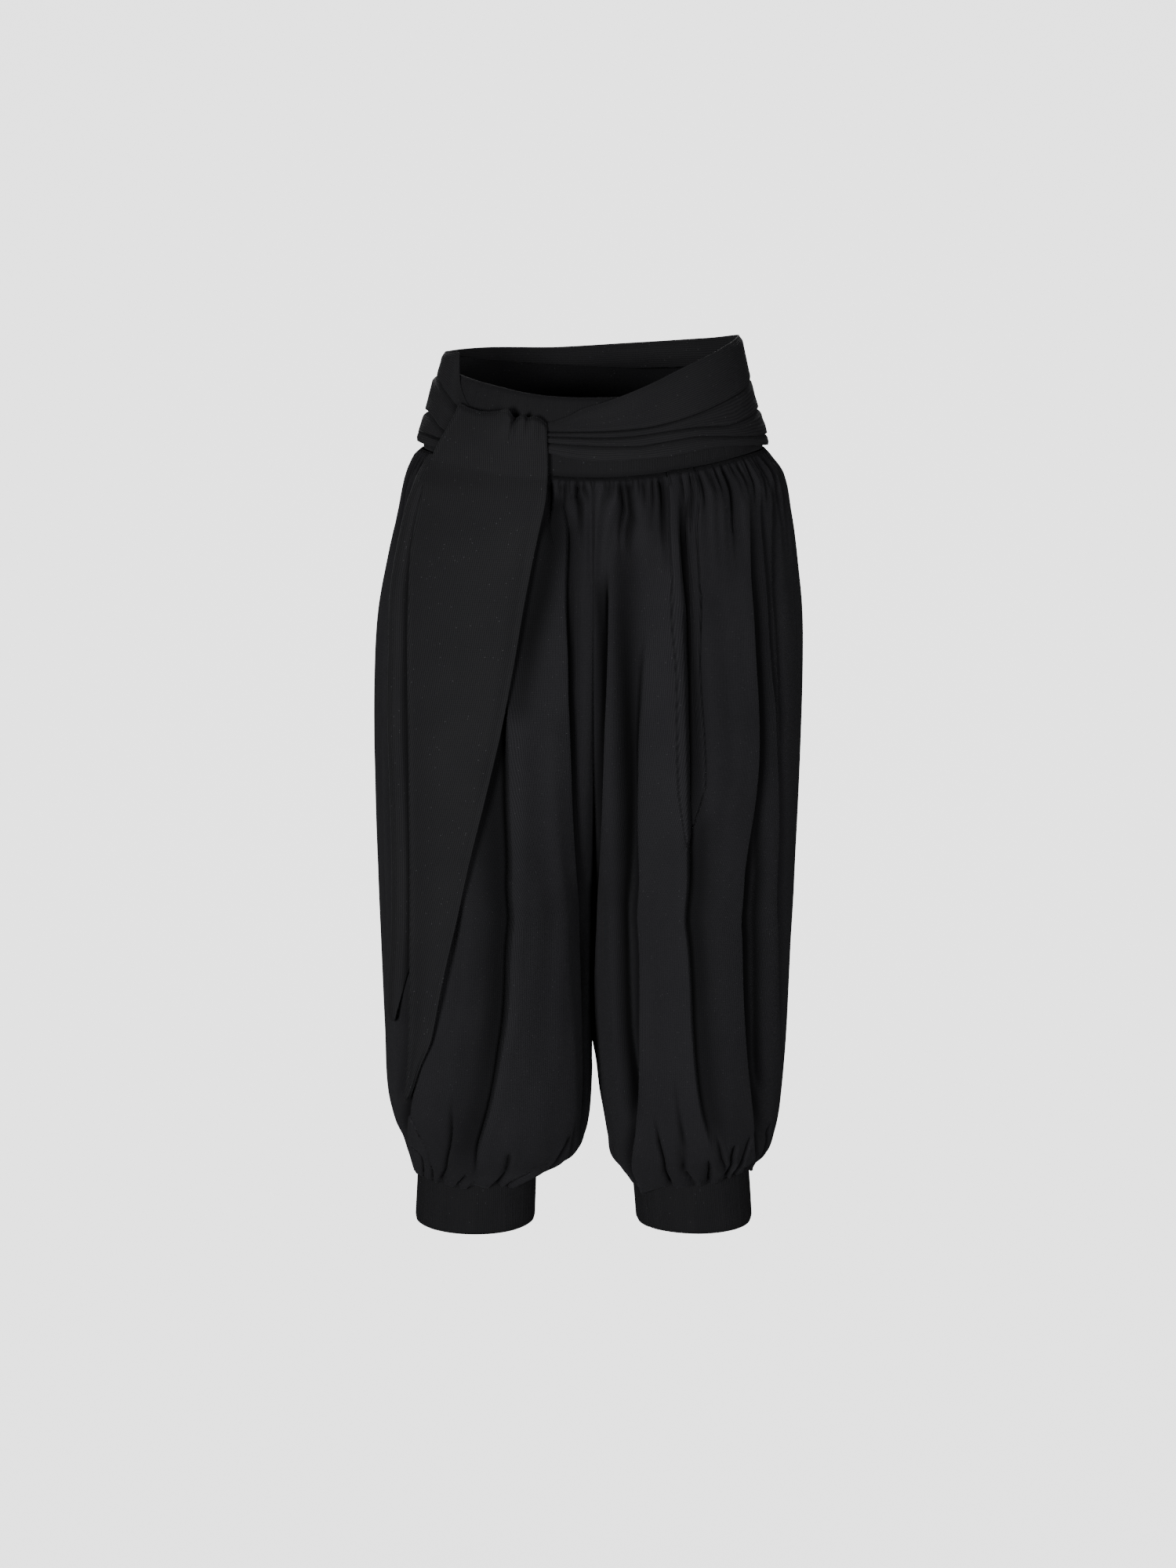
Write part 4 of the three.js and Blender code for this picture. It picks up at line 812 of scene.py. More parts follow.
def legPanel(name):
    panel = panels[name]
    side, face = panel["side"], panel["face"]
    halfGap = body["seamGap"] / 2
    z = np.concatenate([
        np.linspace(-36, -100, legSizes["topRows"], endpoint=False),
        np.linspace(-100, -610, legSizes["middleRows"], endpoint=False),
        np.linspace(-610, legLowest, legSizes["bottomRows"], endpoint=False),
        np.linspace(legLowest, legLowest - 4, legSizes["turnRows"]),
    ])
    length = sectionLength(side, face, z)
    share = pinnedShares(panel, z, length)
    zz = np.broadcast_to(z[:, None], share.shape)
    lengths = np.broadcast_to(length[:, None], share.shape)

    def plain(s, height):
        return legPoint(side, face, s, height)

    depth, lean, rise, paintedShade = foldDepth(panel, share, zz, lengths)
    base = plain(np.clip(share + lean / lengths, 0, 1), zz)
    points = base + outward(plain, side, face, share, zz) * depth[..., None]
    points[..., 2] += np.where(zz > legLowest - 3.9, rise, 0.3 * rise)
    x, half, deep = cuffAt(side, points[..., 2])
    near = (zz < -670) & (zz > legLowest - 3.9)
    cx, cy = (points[..., 0] - x) / (half + 2.4), points[..., 1] / (deep + 2.4)
    inside = np.where(near, np.maximum(1 - np.hypot(cx, cy), 0), 0)
    size = np.maximum(np.hypot(cx, cy), 1e-6)
    points[..., 0] += cx / size * inside * half
    points[..., 1] += cy / size * inside * half
    aside = np.maximum(side * (points[..., 0] - body["centreX"]), halfGap)
    points[..., 0] = body["centreX"] + side * aside
    nearCentre = 1 - smoothStep(4, 30, np.abs(points[..., 0] - body["centreX"]))
    pressed = smoothStep(-60, -160, zz) * (1 - smoothStep(-565, -600, zz))
    push = legSizes["pressed"] * smoothStep(-4, 8, points[..., 1])
    points[..., 0] -= push * nearCentre * pressed
    points[..., 1] = face * np.maximum(face * points[..., 1], halfGap)
    points[:, -1, 1] = face * halfGap
    seamAt = legCurve["seamFront" if face < 0 else "seamBack"]
    closed = curveAt(seamAt, np.maximum(z, legLowest)) < 1e-6
    points[closed, 0, 1] = face * halfGap
    uv = np.stack([share * 0.42 + panel["seed"], zz / 1000], axis=-1)
    # painted shade along the turn under the puffs, where the leg meets the cuff
    paintedShade = np.maximum(paintedShade, 0.7 * hump(zz - legLowest + 4, 2.2))
    piece = gridMesh(name.replace("leg", "leg_cloth"), points, uv, paintedShade)
    centre = (body["centreX"] + side * legSizes["middle"]) / 1000
    return finishSheet(piece, lambda p: Vector((centre, 0, p.z)), legSizes["thickness"],
                       blackJersey)


legPieces = {name: legPanel(name) for name in panels}
print("leg panels made")


# Ribs of the waistband and the cuffs: rows of wales raised on a tube

def makeRibTree():
    tree = bpy.data.node_groups.new("raisedRibs", "GeometryNodeTree")
    tree.interface.new_socket(name="Geometry", in_out="INPUT", socket_type="NodeSocketGeometry")
    for name, kind in (("Rib Count", "Int"), ("Rib Height", "Float"), ("Unevenness", "Float"),
                       ("Seed", "Int"), ("Material", "Material")):
        tree.interface.new_socket(name=name, in_out="INPUT", socket_type="NodeSocket" + kind)
    tree.interface.new_socket(name="Geometry", in_out="OUTPUT", socket_type="NodeSocketGeometry")
    start = node(tree, "NodeGroupInput", (-900, 0))
    end = node(tree, "NodeGroupOutput", (900, 0))
    around = node(tree, "GeometryNodeInputNamedAttribute", (-900, -250), data_type="FLOAT")
    around.inputs["Name"].default_value = "around"
    given = start.outputs
    phase = mathNode(tree, "MULTIPLY", around.outputs["Attribute"], given["Rib Count"],
                     (-650, -200))
    wave = mathNode(tree, "PINGPONG", phase, 0.5, (-480, -200))
    wave = mathNode(tree, "MULTIPLY", wave, 2.0, (-320, -200))
    wave = mathNode(tree, "POWER", wave, 0.7, (-160, -200))
    whole = mathNode(tree, "FLOOR", phase, None, (-480, -420))
    noise = node(tree, "FunctionNodeRandomValue", (-320, -420), data_type="FLOAT")
    setSockets(noise, Min=-1.0, Max=1.0)
    tree.links.new(whole, noise.inputs["ID"])
    tree.links.new(given["Seed"], noise.inputs["Seed"])
    vary = mathNode(tree, "MULTIPLY", noise.outputs["Value"], given["Unevenness"], (-140, -420))
    vary = mathNode(tree, "ADD", vary, 1.0, (20, -420))
    height = mathNode(tree, "MULTIPLY", wave, given["Rib Height"], (20, -200))
    height = mathNode(tree, "MULTIPLY", height, vary, (180, -250))
    outside = node(tree, "GeometryNodeInputNamedAttribute", (20, -600), data_type="FLOAT")
    outside.inputs["Name"].default_value = "outside"
    height = mathNode(tree, "MULTIPLY", height, outside.outputs["Attribute"], (260, -350))
    normal = node(tree, "GeometryNodeInputNormal", (20, -50))
    scale = node(tree, "ShaderNodeVectorMath", (340, -100), operation="SCALE")
    tree.links.new(normal.outputs[0], scale.inputs[0])
    tree.links.new(height, scale.inputs["Scale"])
    move = node(tree, "GeometryNodeSetPosition", (480, 50))
    tree.links.new(given["Geometry"], move.inputs["Geometry"])
    tree.links.new(scale.outputs[0], move.inputs["Offset"])
    real = node(tree, "GeometryNodeRealizeInstances", (620, 50))
    tree.links.new(move.outputs[0], real.inputs[0])
    paint = node(tree, "GeometryNodeSetMaterial", (760, 50))
    tree.links.new(real.outputs[0], paint.inputs["Geometry"])
    tree.links.new(given["Material"], paint.inputs["Material"])
    tree.links.new(paint.outputs[0], end.inputs[0])
    return tree


ribTree = makeRibTree()


def addRibs(piece, around, outside, size, seed):
    for name, values in (("around", around), ("outside", outside)):
        attribute = piece.data.attributes.new(name, "FLOAT", "POINT")
        attribute.data.foreach_set("value", values.ravel().astype(np.float32))
    ribs = piece.modifiers.new("ribs", "NODES")
    ribs.node_group = ribTree
    named = {item.name: item.identifier for item in ribTree.interface.items_tree
             if item.in_out == "INPUT"}
    given = {"Rib Count": size["ribs"], "Rib Height": size["ribHeight"] / 1000, "Unevenness": 0.3,
             "Seed": seed, "Material": blackRib}
    for key, value in given.items():
        ribs[named[key]] = value
    depsgraph = bpy.context.evaluated_depsgraph_get()
    plain = bpy.data.meshes.new_from_object(piece.evaluated_get(depsgraph))
    piece.modifiers.remove(ribs)
    piece.data = plain


# Rows along a tube's outer face from top to bottom, and back up its plain inner face.
def wallRows(rows):
    f = np.concatenate([np.linspace(0, 1, rows), [1, 0.66, 0.33, 0]])[:, None]
    outside = np.concatenate([np.ones(rows), np.zeros(4)])[:, None]
    return f, outside


def ribWall(outside, edge, size):  # how far both faces stand out, rounded towards an edge
    inset = -size["ribHeight"]
    return np.where(outside > 0, inset - edge, inset - size["thickness"] + 0.6 * edge)


def waistPoint(turn, z, out):
    half = curveAt(waistHalf, z)
    turn = np.radians(turn)
    return np.stack([
        body["centreX"] + (half + out) * np.sin(turn),
        -(half * body["waistFlatness"] + out) * np.cos(turn),
        z + 0 * turn,
    ], axis=-1)


# Waistband

waistband = {
    "top": [
        (-180, 30), (-156, 33), (-133, 37), (-115, 41), (-95, 40), (-65, 31), (-40, 22),
        (-20, 14.8), (0, 13), (20, 14.8), (40, 22), (65, 31), (90, 36), (130, 31), (160, 28),
        (180, 30),
    ],
    "ribs": 400, "ribHeight": 0.55, "pointsPerRib": 4, "rows": 14, "thickness": 2.4, "fold": 0.9,
}


def makeWaistband():
    size = waistband
    columns = size["ribs"] * size["pointsPerRib"]
    share = np.arange(columns) / columns
    turn = (share * 360 - 180)[None, :]
    front = np.abs(turn) < 90
    panelShare = np.where(front, np.abs(turn), 180 - np.abs(turn)) / 90
    bottom = np.where(front, waistSeam(-1, panelShare), waistSeam(1, panelShare)) + body["seamGap"]
    top = curveAt(size["top"], turn)
    f, outside = wallRows(size["rows"])
    z = mixed(top, bottom, f)
    fromEdge = np.minimum(top - z, z - bottom)
    out = ribWall(outside, hump(fromEdge, size["fold"]), size)
    out = out + 0.25 * np.sin(np.radians(turn) * 7 + z / 9)
    points = waistPoint(broad(turn, z), z, out)
    uv = np.stack([broad(share * 0.78, z), z / 1000 + 0.2 * outside], axis=-1)
    piece = gridMesh("waistband_rib", points, uv, ring=True, tube=True)
    turnOut(piece)
    ribbed = outside * smoothStep(0, 1.2, fromEdge)
    addRibs(piece, broad(share, z), ribbed, size, 3)
    return piece


waistbandPiece = makeWaistband()


# Cuffs

cuffLook = {"ribs": 176, "ribHeight": 0.55, "pointsPerRib": 4, "rows": 14,
            "thickness": 2.4, "fold": 0.9}


def makeCuff(name):
    size, look = cuffSizes[name], cuffLook
    columns = look["ribs"] * look["pointsPerRib"]
    share = np.arange(columns) / columns
    turn = (share * 2 * math.pi)[None, :]
    f, outside = wallRows(look["rows"])
    z = mixed(size["topZ"], size["lowZ"], f) + 0.7 * f * np.sin(2 * turn + size["topX"])
    z = np.maximum(z, size["lowZ"])
    out = ribWall(outside, hump(z - size["lowZ"], look["fold"]), look)
    out = out + 0.5 * np.sin(3 * turn + f * 2 + size["topX"]) * f
    out = out - 0.9 * hump(np.degrees(turn) - size["seamTurn"], 0.9) * (outside > 0)
    half = mixed(size["topHalf"], size["lowHalf"], f) + out
    x = mixed(size["topX"], size["lowX"], f) + half * np.sin(turn)
    y = -(mixed(size["topDepth"], size["lowDepth"], f) + out) * np.cos(turn)
    points = np.stack([x, y, z], axis=-1)
    uv = np.stack([broad(share * 0.335, z), z / 1000 + 0.2 * outside], axis=-1)
    piece = gridMesh(name + "_rib", points, uv, ring=True, tube=True)
    turnOut(piece)
    ribbed = outside * smoothStep(0, 1.2, z - size["lowZ"])
    addRibs(piece, broad(share, z), ribbed, look, 5)
    return piece


cuffPieces = {name: makeCuff(name) for name in cuffSizes}
print("waistband and cuffs made")


# Sash round the waist: the heights of its top edge, three creases and bottom edge at
# each turn round the waist, and how far each roll between them stands out.

sash = {
    "top": [
        (-20, -9), (-14.8, -7.8), (-8, -1.8), (-3.6, 3.8), (4.6, 10), (13, 17.1), (23.4, 26.6),
        (35, 37.3), (49.4, 47.1), (65.6, 55.4), (90, 61.9), (130, 56.7), (166, 51.2), (197, 47.4),
        (226, 48.5), (265, 47), (285, 49.2), (293, 49.4), (297, 46.5), (299.5, 34), (303, 20),
        (308.4, 7.8), (314, -2),
    ],
    "upper": [
        (-20, -15), (0, -14.8), (7.7, -14.2), (19, -11.5), (28.7, -6.9), (39.6, -0.4), (53.9, 8.5),
        (82.3, 23.4), (95, 27), (130, 30), (180, 26), (230, 28), (265, 29), (282, 23.5),
        (294, 14.5), (303, 5.3), (309, 0), (314, -6),
    ],
    "middle": [
        (-20, -18.6), (-8.8, -19.4), (2.1, -20), (13.2, -18.8), (25, -15.2), (38.3, -12.3),
        (51.5, -12.1), (68, -6), (80, -2), (95, 0), (130, 3), (180, 0), (230, -2), (265, -3),
        (284, -4), (293, -8.5), (301, -16), (314, -22),
    ],
    "lower": [
        (-20, -23.5), (-6, -25.9), (3.7, -27.2), (14.1, -27.4), (24.7, -23.9), (37.6, -20.2),
        (54.5, -21.7), (79, -23.3), (95, -22), (130, -16), (180, -12), (230, -17), (265, -20),
        (284, -21), (301, -25), (314, -28),
    ],
    "bottom": [
        (-20, -33), (-14.1, -33.3), (-8.6, -36.4), (2.1, -39.6), (10.1, -39.1), (24.3, -36.4),
        (37, -31.7), (48.6, -29.8), (63.9, -30.5), (84.8, -32.9), (95, -32), (130, -28),
        (180, -23.5), (230, -27), (265, -29), (279, -29.7), (297, -31.8), (314, -33),
    ],
    "lines": ("top", "upper", "middle", "lower", "bottom"),
    "rollLeft": (4.8, 4.9, 5.2, 5.4),     # crest of each roll, over the wearer's left front
    "rollRight": (3.8, 6.4, 6.3, 6.1),    # and at the wearer's right side
    "creaseLeft": (3.4, 1.7, 1.7, 1.8, 3.0),
    "creaseRight": (2.8, 1.5, 1.6, 6.1, 3.2),
    "rowsPerRoll": 18, "thickness": 1.3,
    "wrinkles": [  # from and to turn, from and to place across (0 top, 4 bottom), depth, width
        (-16, 60, 0.55, 0.42, 0.9, 2.2), (-16, 34, 0.72, 0.8, 0.8, 1.6),
        (10, 92, 0.78, 0.66, 0.7, 3.0), (-16, 46, 1.5, 1.45, 0.8, 1.5),
        (20, 96, 1.55, 1.62, 0.9, 2.4), (-14, 40, 2.45, 2.5, 0.7, 1.6),
        (34, 100, 2.6, 2.45, 0.8, 2.4), (-10, 44, 3.5, 3.4, 0.9, 2.0),
        (50, 110, 3.35, 3.55, 0.7, 2.6), (100, 200, 0.5, 0.62, 1.0, 3.0),
        (140, 262, 0.8, 0.55, 0.9, 2.6), (96, 170, 1.5, 1.6, 0.9, 2.6),
        (160, 258, 1.62, 1.4, 0.8, 2.6), (110, 240, 2.5, 2.55, 0.9, 2.4),
        (120, 220, 3.45, 3.5, 0.8, 2.4), (268, 300, 0.45, 0.7, 0.6, 3.2),
        (272, 313, 1.6, 1.5, 0.5, 2.6),
    ],
}
stretches = {
    "sash_left_wrap": {"from": -20, "to": 94.9, "columns": 150},
    "sash_back": {"from": 95.02, "to": 264.9, "columns": 170},
    "sash_right_wrap": {"from": 265.02, "to": 314, "columns": 90},
}


def sashStretch(name):
    size = stretches[name]
    turn = np.linspace(size["from"], size["to"], size["columns"])[None, :]
    lines = np.stack([curveAt(sash[line], turn[0]) for line in sash["lines"]])
    rows = sash["rowsPerRoll"]
    bands = len(lines) - 1
    part = [i + 0.5 - 0.5 * np.cos(math.pi * np.arange(rows) / rows) for i in range(bands)]
    part = np.concatenate(part + [[bands]])
    band = np.minimum(part.astype(int), bands - 1)
    f = (part - band)[:, None]
    z = mixed(lines[band], lines[band + 1], f)
    height = np.abs(lines[band] - lines[band + 1])
    right = smoothStep(120, 262, turn)

    def roundWaist(part, place):  # a roll's or crease's size changes from the left to the right
        left, other = (np.array(sash[part + end])[place][:, None] for end in ("Left", "Right"))
        return mixed(left, other, right)

    crest = roundWaist("roll", band)
    crease = mixed(roundWaist("crease", band), roundWaist("crease", band + 1), f)
    above, below = f * height, (1 - f) * height  # distances from a roll's two lines
    first, last = band[:, None] == 0, band[:, None] == bands - 1
    # a roll rises gently from above and ends in a sharp lower edge
    full = smoothStep(0, 1, above / np.minimum(5.5, 0.45 * height))
    full = full * (1 - smoothStep(-1.6, -0.1, -(1 - f) * height) * ~last)
    edgeRoll = hump(above, 2.2) * first + hump(below, 2.0) * last
    out = mixed(crease, crest, np.clip(full, 0, 1)) - 0.9 * edgeRoll
    z = z - 1.1 * hump(below - 1.2, 1.3) * ~last * (height > 3)
    spread = broad(part[:, None], out)
    # painted shade in the creases under and over each roll
    paintedShade = 0.8 * hump(below, 0.9) * ~last + 0.8 * hump(above, 1.3) * ~first
    for start, stop, placeStart, placeStop, depth, width in sash["wrinkles"]:
        g = np.clip((turn - start) / (stop - start), 0, 1)
        place = mixed(placeStart, placeStop, g)
        if start > -10:
            fade = smoothStep(0, 0.2, g) * smoothStep(0, 0.35, 1 - g)
        else:  # it starts at the knot
            fade = smoothStep(0, 0.5, 1 - g) * (g < 1)
        out = out - depth * fade * hump((spread - place) * height, width) * (height > 4)
    out = out + 0.3 * np.sin(np.radians(turn) * 9 + spread * 2.3)
    points = waistPoint(broad(turn, z), z, out)
    along, across = (
        np.concatenate([[0], np.cumsum(np.linalg.norm(np.diff(line, axis=0), axis=-1))])
        for line in (points[len(part) // 2], points[:, size["columns"] // 2]))
    down = across[:, None] / 1000
    uv = np.stack(np.broadcast_arrays(down, along[None, :] / 1000 + size["from"]), axis=-1)
    piece = gridMesh(name + "_cloth", points, uv, paintedShade)
    centre = body["centreX"] / 1000
    return finishSheet(piece, lambda p: Vector((centre, 0, p.z)), sash["thickness"], sashJersey)


sashPieces = {name: sashStretch(name) for name in stretches}
print("sash made")


# Tie ends. They hang over the sash above and the right leg's front below.

def drapePoint(share, z):
    share, z = np.broadcast_arrays(np.asarray(share, float), np.asarray(z, float))
    onWaist = waistPoint(-90 * share, np.maximum(z, -60), 0)
    level = z.copy()
    for _ in range(4):
        level = z - (waistSeam(-1, share) + 36) * smoothStep(body["tiltEnd"], -36, level)
    onLeg = legPoint(-1, -1, share, np.minimum(level, -38))
    blend = np.where(z > -30, 0, smoothStep(-30, -66, z))[..., None]
    point = mixed(onWaist, onLeg, blend)
    point[..., 2] = z
    return point


def tiePoints(x, z, out):
    low = np.zeros_like(x)
    high = np.ones_like(x)
    for _ in range(26):
        share = (low + high) / 2
        base = drapePoint(share, z)
        normal = outward(drapePoint, -1, -1, share, z, 0.04)
        under = base[..., 0] + normal[..., 0] * out > x
        low = np.where(under, share, low)
        high = np.where(under, high, share)
    normal[..., 2] = 0
    normal /= np.linalg.norm(normal, axis=-1, keepdims=True)
    return base + normal * out[..., None]


def finishTie(piece, size):
    centre = body["centreX"] / 1000
    return finishSheet(piece, lambda p: Vector((centre, 0.02, p.z)), size["thickness"], sashJersey)


tieFront = {
    "edges": [  # leftZ, leftX, rightZ, rightX
        (6.7, -110.8, -8.7, -36.5), (3.5, -113, -11.5, -36.2), (-3, -116, -16, -36),
        (-14.2, -122.4, -22, -35.9), (-32, -132.6, -33, -35.5), (-50.8, -139.3, -47.2, -35.2),
        (-77.1, -145.9, -72.7, -37.1), (-116.6, -153.3, -112, -45.7),
        (-166.8, -155.6, -162.5, -55.7), (-213.7, -156.3, -209.6, -63.8),
        (-272.6, -155.6, -268.5, -75.3), (-330, -155.7, -326, -89), (-386, -155.9, -381, -102.8),
        (-440, -156.6, -435, -114.8), (-486, -157.6, -481, -125.6), (-529, -158.7, -525, -134.5),
        (-553, -159.8, -549, -139.7), (-578, -161.2, -575, -150.1), (-600, -163.6, -599, -157.5),
        (-609.5, -164.4, -609.2, -162.6),
    ],
    "top": [  # share, rise, out
        (0, 0, 0), (0.1, -2, 0), (0.22, -2.2, 0.5), (0.34, -0.5, 1.5), (0.46, 2.5, 3),
        (0.555, 6, 5), (0.61, 1.5, 4), (0.645, -0.5, 0), (0.685, 1.5, 2.5), (0.74, 5, 3.5),
        (0.79, 2.2, 1.5), (0.85, 4.4, 2.6), (0.93, 3.4, 1.2), (1, 0, -1),
    ],
    "depthDown": [(0, 0), (1, 4), (2, 11), (3, 20), (4, 37), (5, 55), (19, 620)],
    "rows": 190, "columns": 92, "thickness": 1.3, "hem": 0.8, "widthAtKnot": 75, "least": 5.4,
}


def makeTieFront():
    size = tieFront
    t = np.linspace(0, 1, size["rows"]) ** 1.6 * (len(size["edges"]) - 1)
    leftZ, leftX, rightZ, rightX = sizesAcross(size["edges"], t)
    s = np.linspace(0, 1, size["columns"])[None, :]
    depthDown = curveAt(size["depthDown"], t)[:, None]
    nearTop = 1 - smoothStep(2, 42, depthDown)
    rise = curveAt([(a, b) for a, b, c in size["top"]], s)
    lift = curveAt([(a, c) for a, b, c in size["top"]], s)
    x = mixed(leftX, rightX, s)
    z = mixed(leftZ, rightZ, s) + rise * nearTop
    knotLift = 6 * hump(s - 0.55, 0.34) * hump(z + 16, 22)
    roll = 3.4 * hump(depthDown, 3.2)
    out = mixed(9.6, 7.1, smoothStep(-45, -95, z)) + knotLift + lift * nearTop - roll
    out = out - 2.6 * smoothStep(0.82, 1, s)
    out = out + 0.3 * np.sin(s * 7 + z / 46)
    across = size["widthAtKnot"]
    slit = hump((s - (0.648 - 0.0024 * depthDown)) * across, 1.3)
    out = out - 3.4 * slit * (1 - smoothStep(5, 15, depthDown))
    crease = 1.5 * hump((s - (0.79 + 0.0010 * depthDown)) * across, 1.8)
    crease = crease * (1 - smoothStep(6, 26, depthDown))
    for bow in (0.845, 0.885, 0.925):  # wales that curve over the third bump
        wale = hump((s - bow + 0.0004 * (depthDown - 12) ** 2 / 12) * across, 0.9)
        crease = crease + 0.5 * wale * (1 - smoothStep(14, 34, depthDown))
    out = out - crease
    width = np.abs(rightX - leftX)
    fromEdge = np.minimum(s, 1 - s) * width
    out = out + size["hem"] * hump(fromEdge - 1.6, 1.3) - 1.0 * hump(fromEdge, 0.7)
    soft = smoothStep(-60, -130, z)
    wave = 0.8 * np.sin(s * 9.5 + 0.6 + z / 130)
    out = out + soft * (wave * smoothStep(0, 0.12, s) * smoothStep(0, 0.12, 1 - s))
    out = np.maximum(out, size["least"])
    points = tiePoints(x, z, broad(out, x).copy())
    uv = np.stack([(x - rightX) / 1000 + 7, z / 1000], axis=-1)
    return finishTie(gridMesh("tie_front_cloth", points, uv), size)


tieSide = {
    "edges": [
        (-38, -138.5, -34, -92), (-52.6, -146.8, -50, -90), (-76.4, -157.2, -74, -90),
        (-105.6, -164.9, -104, -91), (-152.4, -173.1, -152, -94), (-199.1, -174.4, -200, -99),
        (-260, -175.8, -260, -107), (-321.4, -174.2, -320, -116), (-380, -173.2, -378, -127),
        (-440.9, -173.9, -438, -143), (-484, -176.2, -482, -157.5), (-510, -178.3, -507, -164.6),
        (-530, -179, -529, -170.5), (-538.6, -176.4, -538.2, -174.4),
    ],
    "rows": 120, "columns": 50, "thickness": 1.3,
}


def makeTieSide():
    size = tieSide
    t = np.linspace(0, len(size["edges"]) - 1, size["rows"])
    leftZ, leftX, rightZ, rightX = sizesAcross(size["edges"], t)
    s = np.linspace(0, 1, size["columns"])[None, :]
    x = mixed(leftX, rightX, s)
    z = mixed(leftZ, rightZ, s)
    out = mixed(5.4, 3.8, smoothStep(-60, -100, z))
    fromLeft = s * np.abs(rightX - leftX)
    # the left edge is a soft roll
    out = out + 4.2 * hump(fromLeft - 5.5, 5) - 1.2 * smoothStep(10, 17, fromLeft)
    points = tiePoints(x, z, broad(out, x).copy())
    uv = np.stack([(x - leftX) / 1000 + 9, z / 1000], axis=-1)
    # painted shade on the right part, next to the front tie's edge
    paintedShade = 0.5 * smoothStep(11, 17, fromLeft) * smoothStep(-30, -60, z)
    return finishTie(gridMesh("tie_side_cloth", points, uv, paintedShade), size)


# Knot: the roll of cloth that the front tie end passes over

knot = {"from": -43, "to": -24, "z": -15, "out": 6.8, "thick": 5.4, "high": 9,
        "rings": 44, "around": 56}


def makeKnot():
    size = knot
    f = ((np.arange(size["rings"]) + 0.5) / size["rings"])[:, None]
    a = np.arange(size["around"])[None, :] / size["around"] * 2 * math.pi + 0.6 * f
    full = np.sin(f * math.pi) ** 0.45
    lobe = 1 - 0.1 * np.cos(3 * a + 2 * f) - 0.05 * hump(np.sin(2.5 * a + f), 0.25)
    turn = mixed(size["from"], size["to"], f) + 0 * a
    z = size["z"] - 3 * f + size["high"] * full * lobe * np.sin(a)
    points = waistPoint(turn, z, size["out"] + size["thick"] * full * lobe * np.cos(a))
    row = np.ones((1, size["around"]))
    ends = [waistPoint(row * turnEnd, row * (size["z"] - 3.0 * i), size["out"])
            for i, turnEnd in enumerate((size["from"], size["to"]))]
    points = np.concatenate([ends[0], points, ends[1]])
    along = np.linspace(0, 0.05, len(points))[:, None]
    girth = np.linspace(0, 0.045, size["around"])[None, :]
    uv = np.stack(np.broadcast_arrays(along, girth), axis=-1)
    piece = gridMesh("sash_knot_cloth", points, uv, ring=True)
    middle = waistPoint(np.array(-33.5), np.array(-16.5), size["out"]) / 1000
    faceOut(piece, lambda p: Vector(middle))
    piece.data.materials.append(sashJersey)
    return piece


tieFrontPiece = makeTieFront()
tieSidePiece = makeTieSide()
knotPiece = makeKnot()
print("knot and tie ends made")


# Which solid each piece stands for: the piece hangs under the root and that solid is hidden

def dress(piece, name):
    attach(piece, "root")
    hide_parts(name)


for name, piece in legPieces.items():
    dress(piece, name)
dress(waistbandPiece, "waistband")
for name, piece in cuffPieces.items():
    dress(piece, name)
for name, piece in sashPieces.items():
    dress(piece, name)
dress(tieFrontPiece, "tie_front")
dress(tieSidePiece, "tie_side")
dress(knotPiece, "sash_knot")


# Floor and backdrop, lights and camera

stage = {"floorZ": -0.98, "half": 7.0, "backY": 4.0, "bend": 1.6, "high": 6.0,
         "grey": (0.15, 0.15, 0.15), "glow": 2.6}


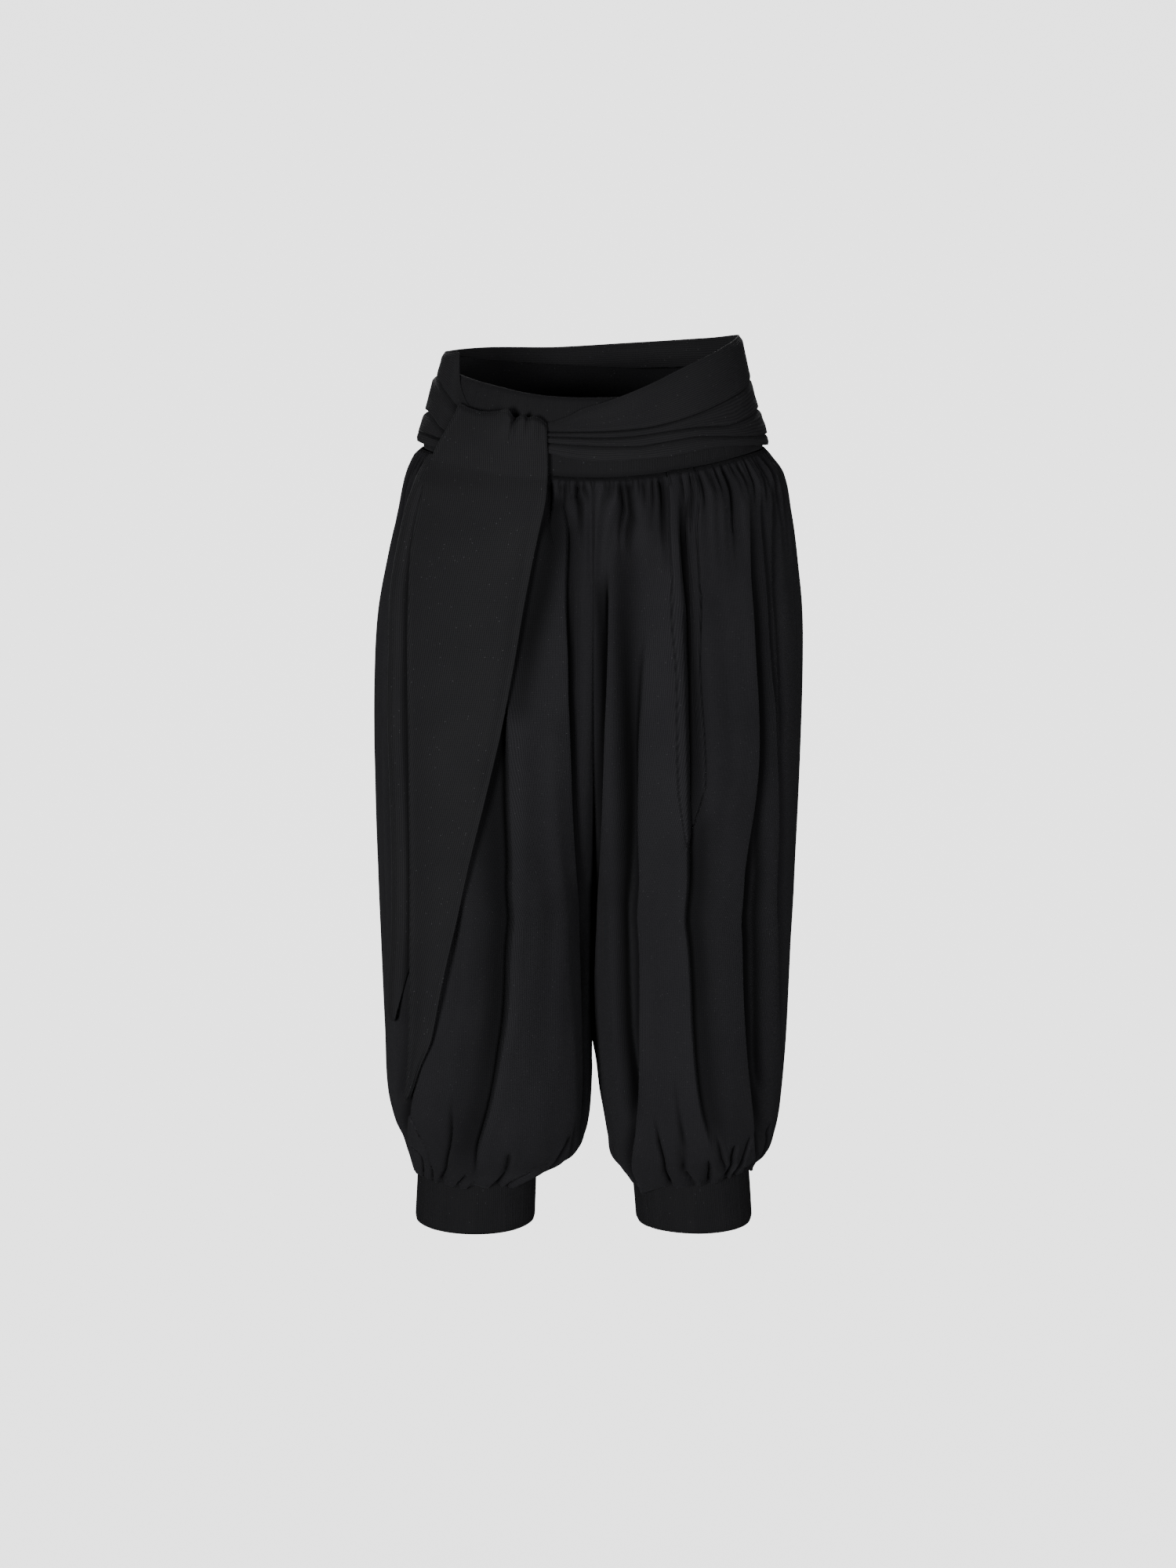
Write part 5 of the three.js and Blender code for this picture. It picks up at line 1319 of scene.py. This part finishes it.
def makeStage():
    profile = [(-stage["half"], 0.0)]
    bend = stage["bend"]
    profile += [(stage["backY"] - bend + bend * math.sin(a), bend * (1 - math.cos(a)))
                for a in np.linspace(0, math.pi / 2, 24)]
    profile += [(stage["backY"], stage["high"])]
    points = [(x, y, stage["floorZ"] + z) for y, z in profile
              for x in (-stage["half"], stage["half"])]
    faces = [(2 * i, 2 * i + 1, 2 * i + 3, 2 * i + 2) for i in range(len(profile) - 1)]
    mesh = bpy.data.meshes.new("studio floor")
    mesh.from_pydata(points, [], faces)
    mesh.polygons.foreach_set("use_smooth", [True] * len(mesh.polygons))
    floor = bpy.data.objects.new("studio_floor", mesh)
    bpy.context.scene.collection.objects.link(floor)
    material = bpy.data.materials.new("pale studio")
    material.use_nodes = True
    shader = material.node_tree.nodes["Principled BSDF"]
    setSockets(shader, Base_Color=(*stage["grey"], 1), Roughness=0.95, Specular_IOR_Level=0.1,
               Emission_Color=(1, 1, 1, 1), Emission_Strength=stage["glow"])
    mesh.materials.append(material)
    floor.visible_diffuse = False  # the photo's pale surround sends no light onto the cloth
    floor.visible_glossy = False


makeStage()

garmentMiddle = Vector((0, 0, -0.35))
lamps = {  # place, size, power
    "key softbox": ((-2.1, -4.3, -0.1), 1.3, 182),
    "front softbox": ((1.6, -4.5, -0.15), 1.3, 98),
    "right softbox": ((3.7, -2.4, -0.2), 1.3, 12),
    "back softbox": ((0, 3.4, 2.3), 1.7, 170),
    "back left light": ((-3.3, 2.2, -0.1), 1.3, 12),
    "back right light": ((3.3, 2.2, -0.1), 1.3, 8),
}


def makeLamp(name):
    place, size, power = lamps[name]
    data = bpy.data.lights.new(name, "AREA")
    data.shape = "SQUARE"
    data.size = size
    data.energy = power
    lamp = bpy.data.objects.new(name, data)
    lamp.location = place
    lamp.rotation_euler = (garmentMiddle - Vector(place)).to_track_quat("-Z", "Y").to_euler()
    bpy.context.scene.collection.objects.link(lamp)


for name in lamps:
    makeLamp(name)

world = bpy.data.worlds.new("studio")
world.use_nodes = True
setSockets(world.node_tree.nodes["Background"], Color=(0.95, 0.97, 1.0, 1), Strength=0.015)
bpy.context.scene.world = world

view = {"target": (-0.0014, 0.0, -0.336), "distance": 3.0, "elevation": 10.0, "lens": 77.14}
cameraData = bpy.data.cameras.new("photo camera")
cameraData.lens = view["lens"]
cameraData.sensor_width = 36
camera = bpy.data.objects.new("photo camera", cameraData)
lift = math.radians(view["elevation"])
target = Vector(view["target"])
camera.location = target + view["distance"] * Vector((0, -math.cos(lift), math.sin(lift)))
camera.rotation_euler = (target - camera.location).to_track_quat("-Z", "Y").to_euler()
bpy.context.scene.collection.objects.link(camera)
bpy.context.scene.camera = camera
print("stage, lights and camera made")
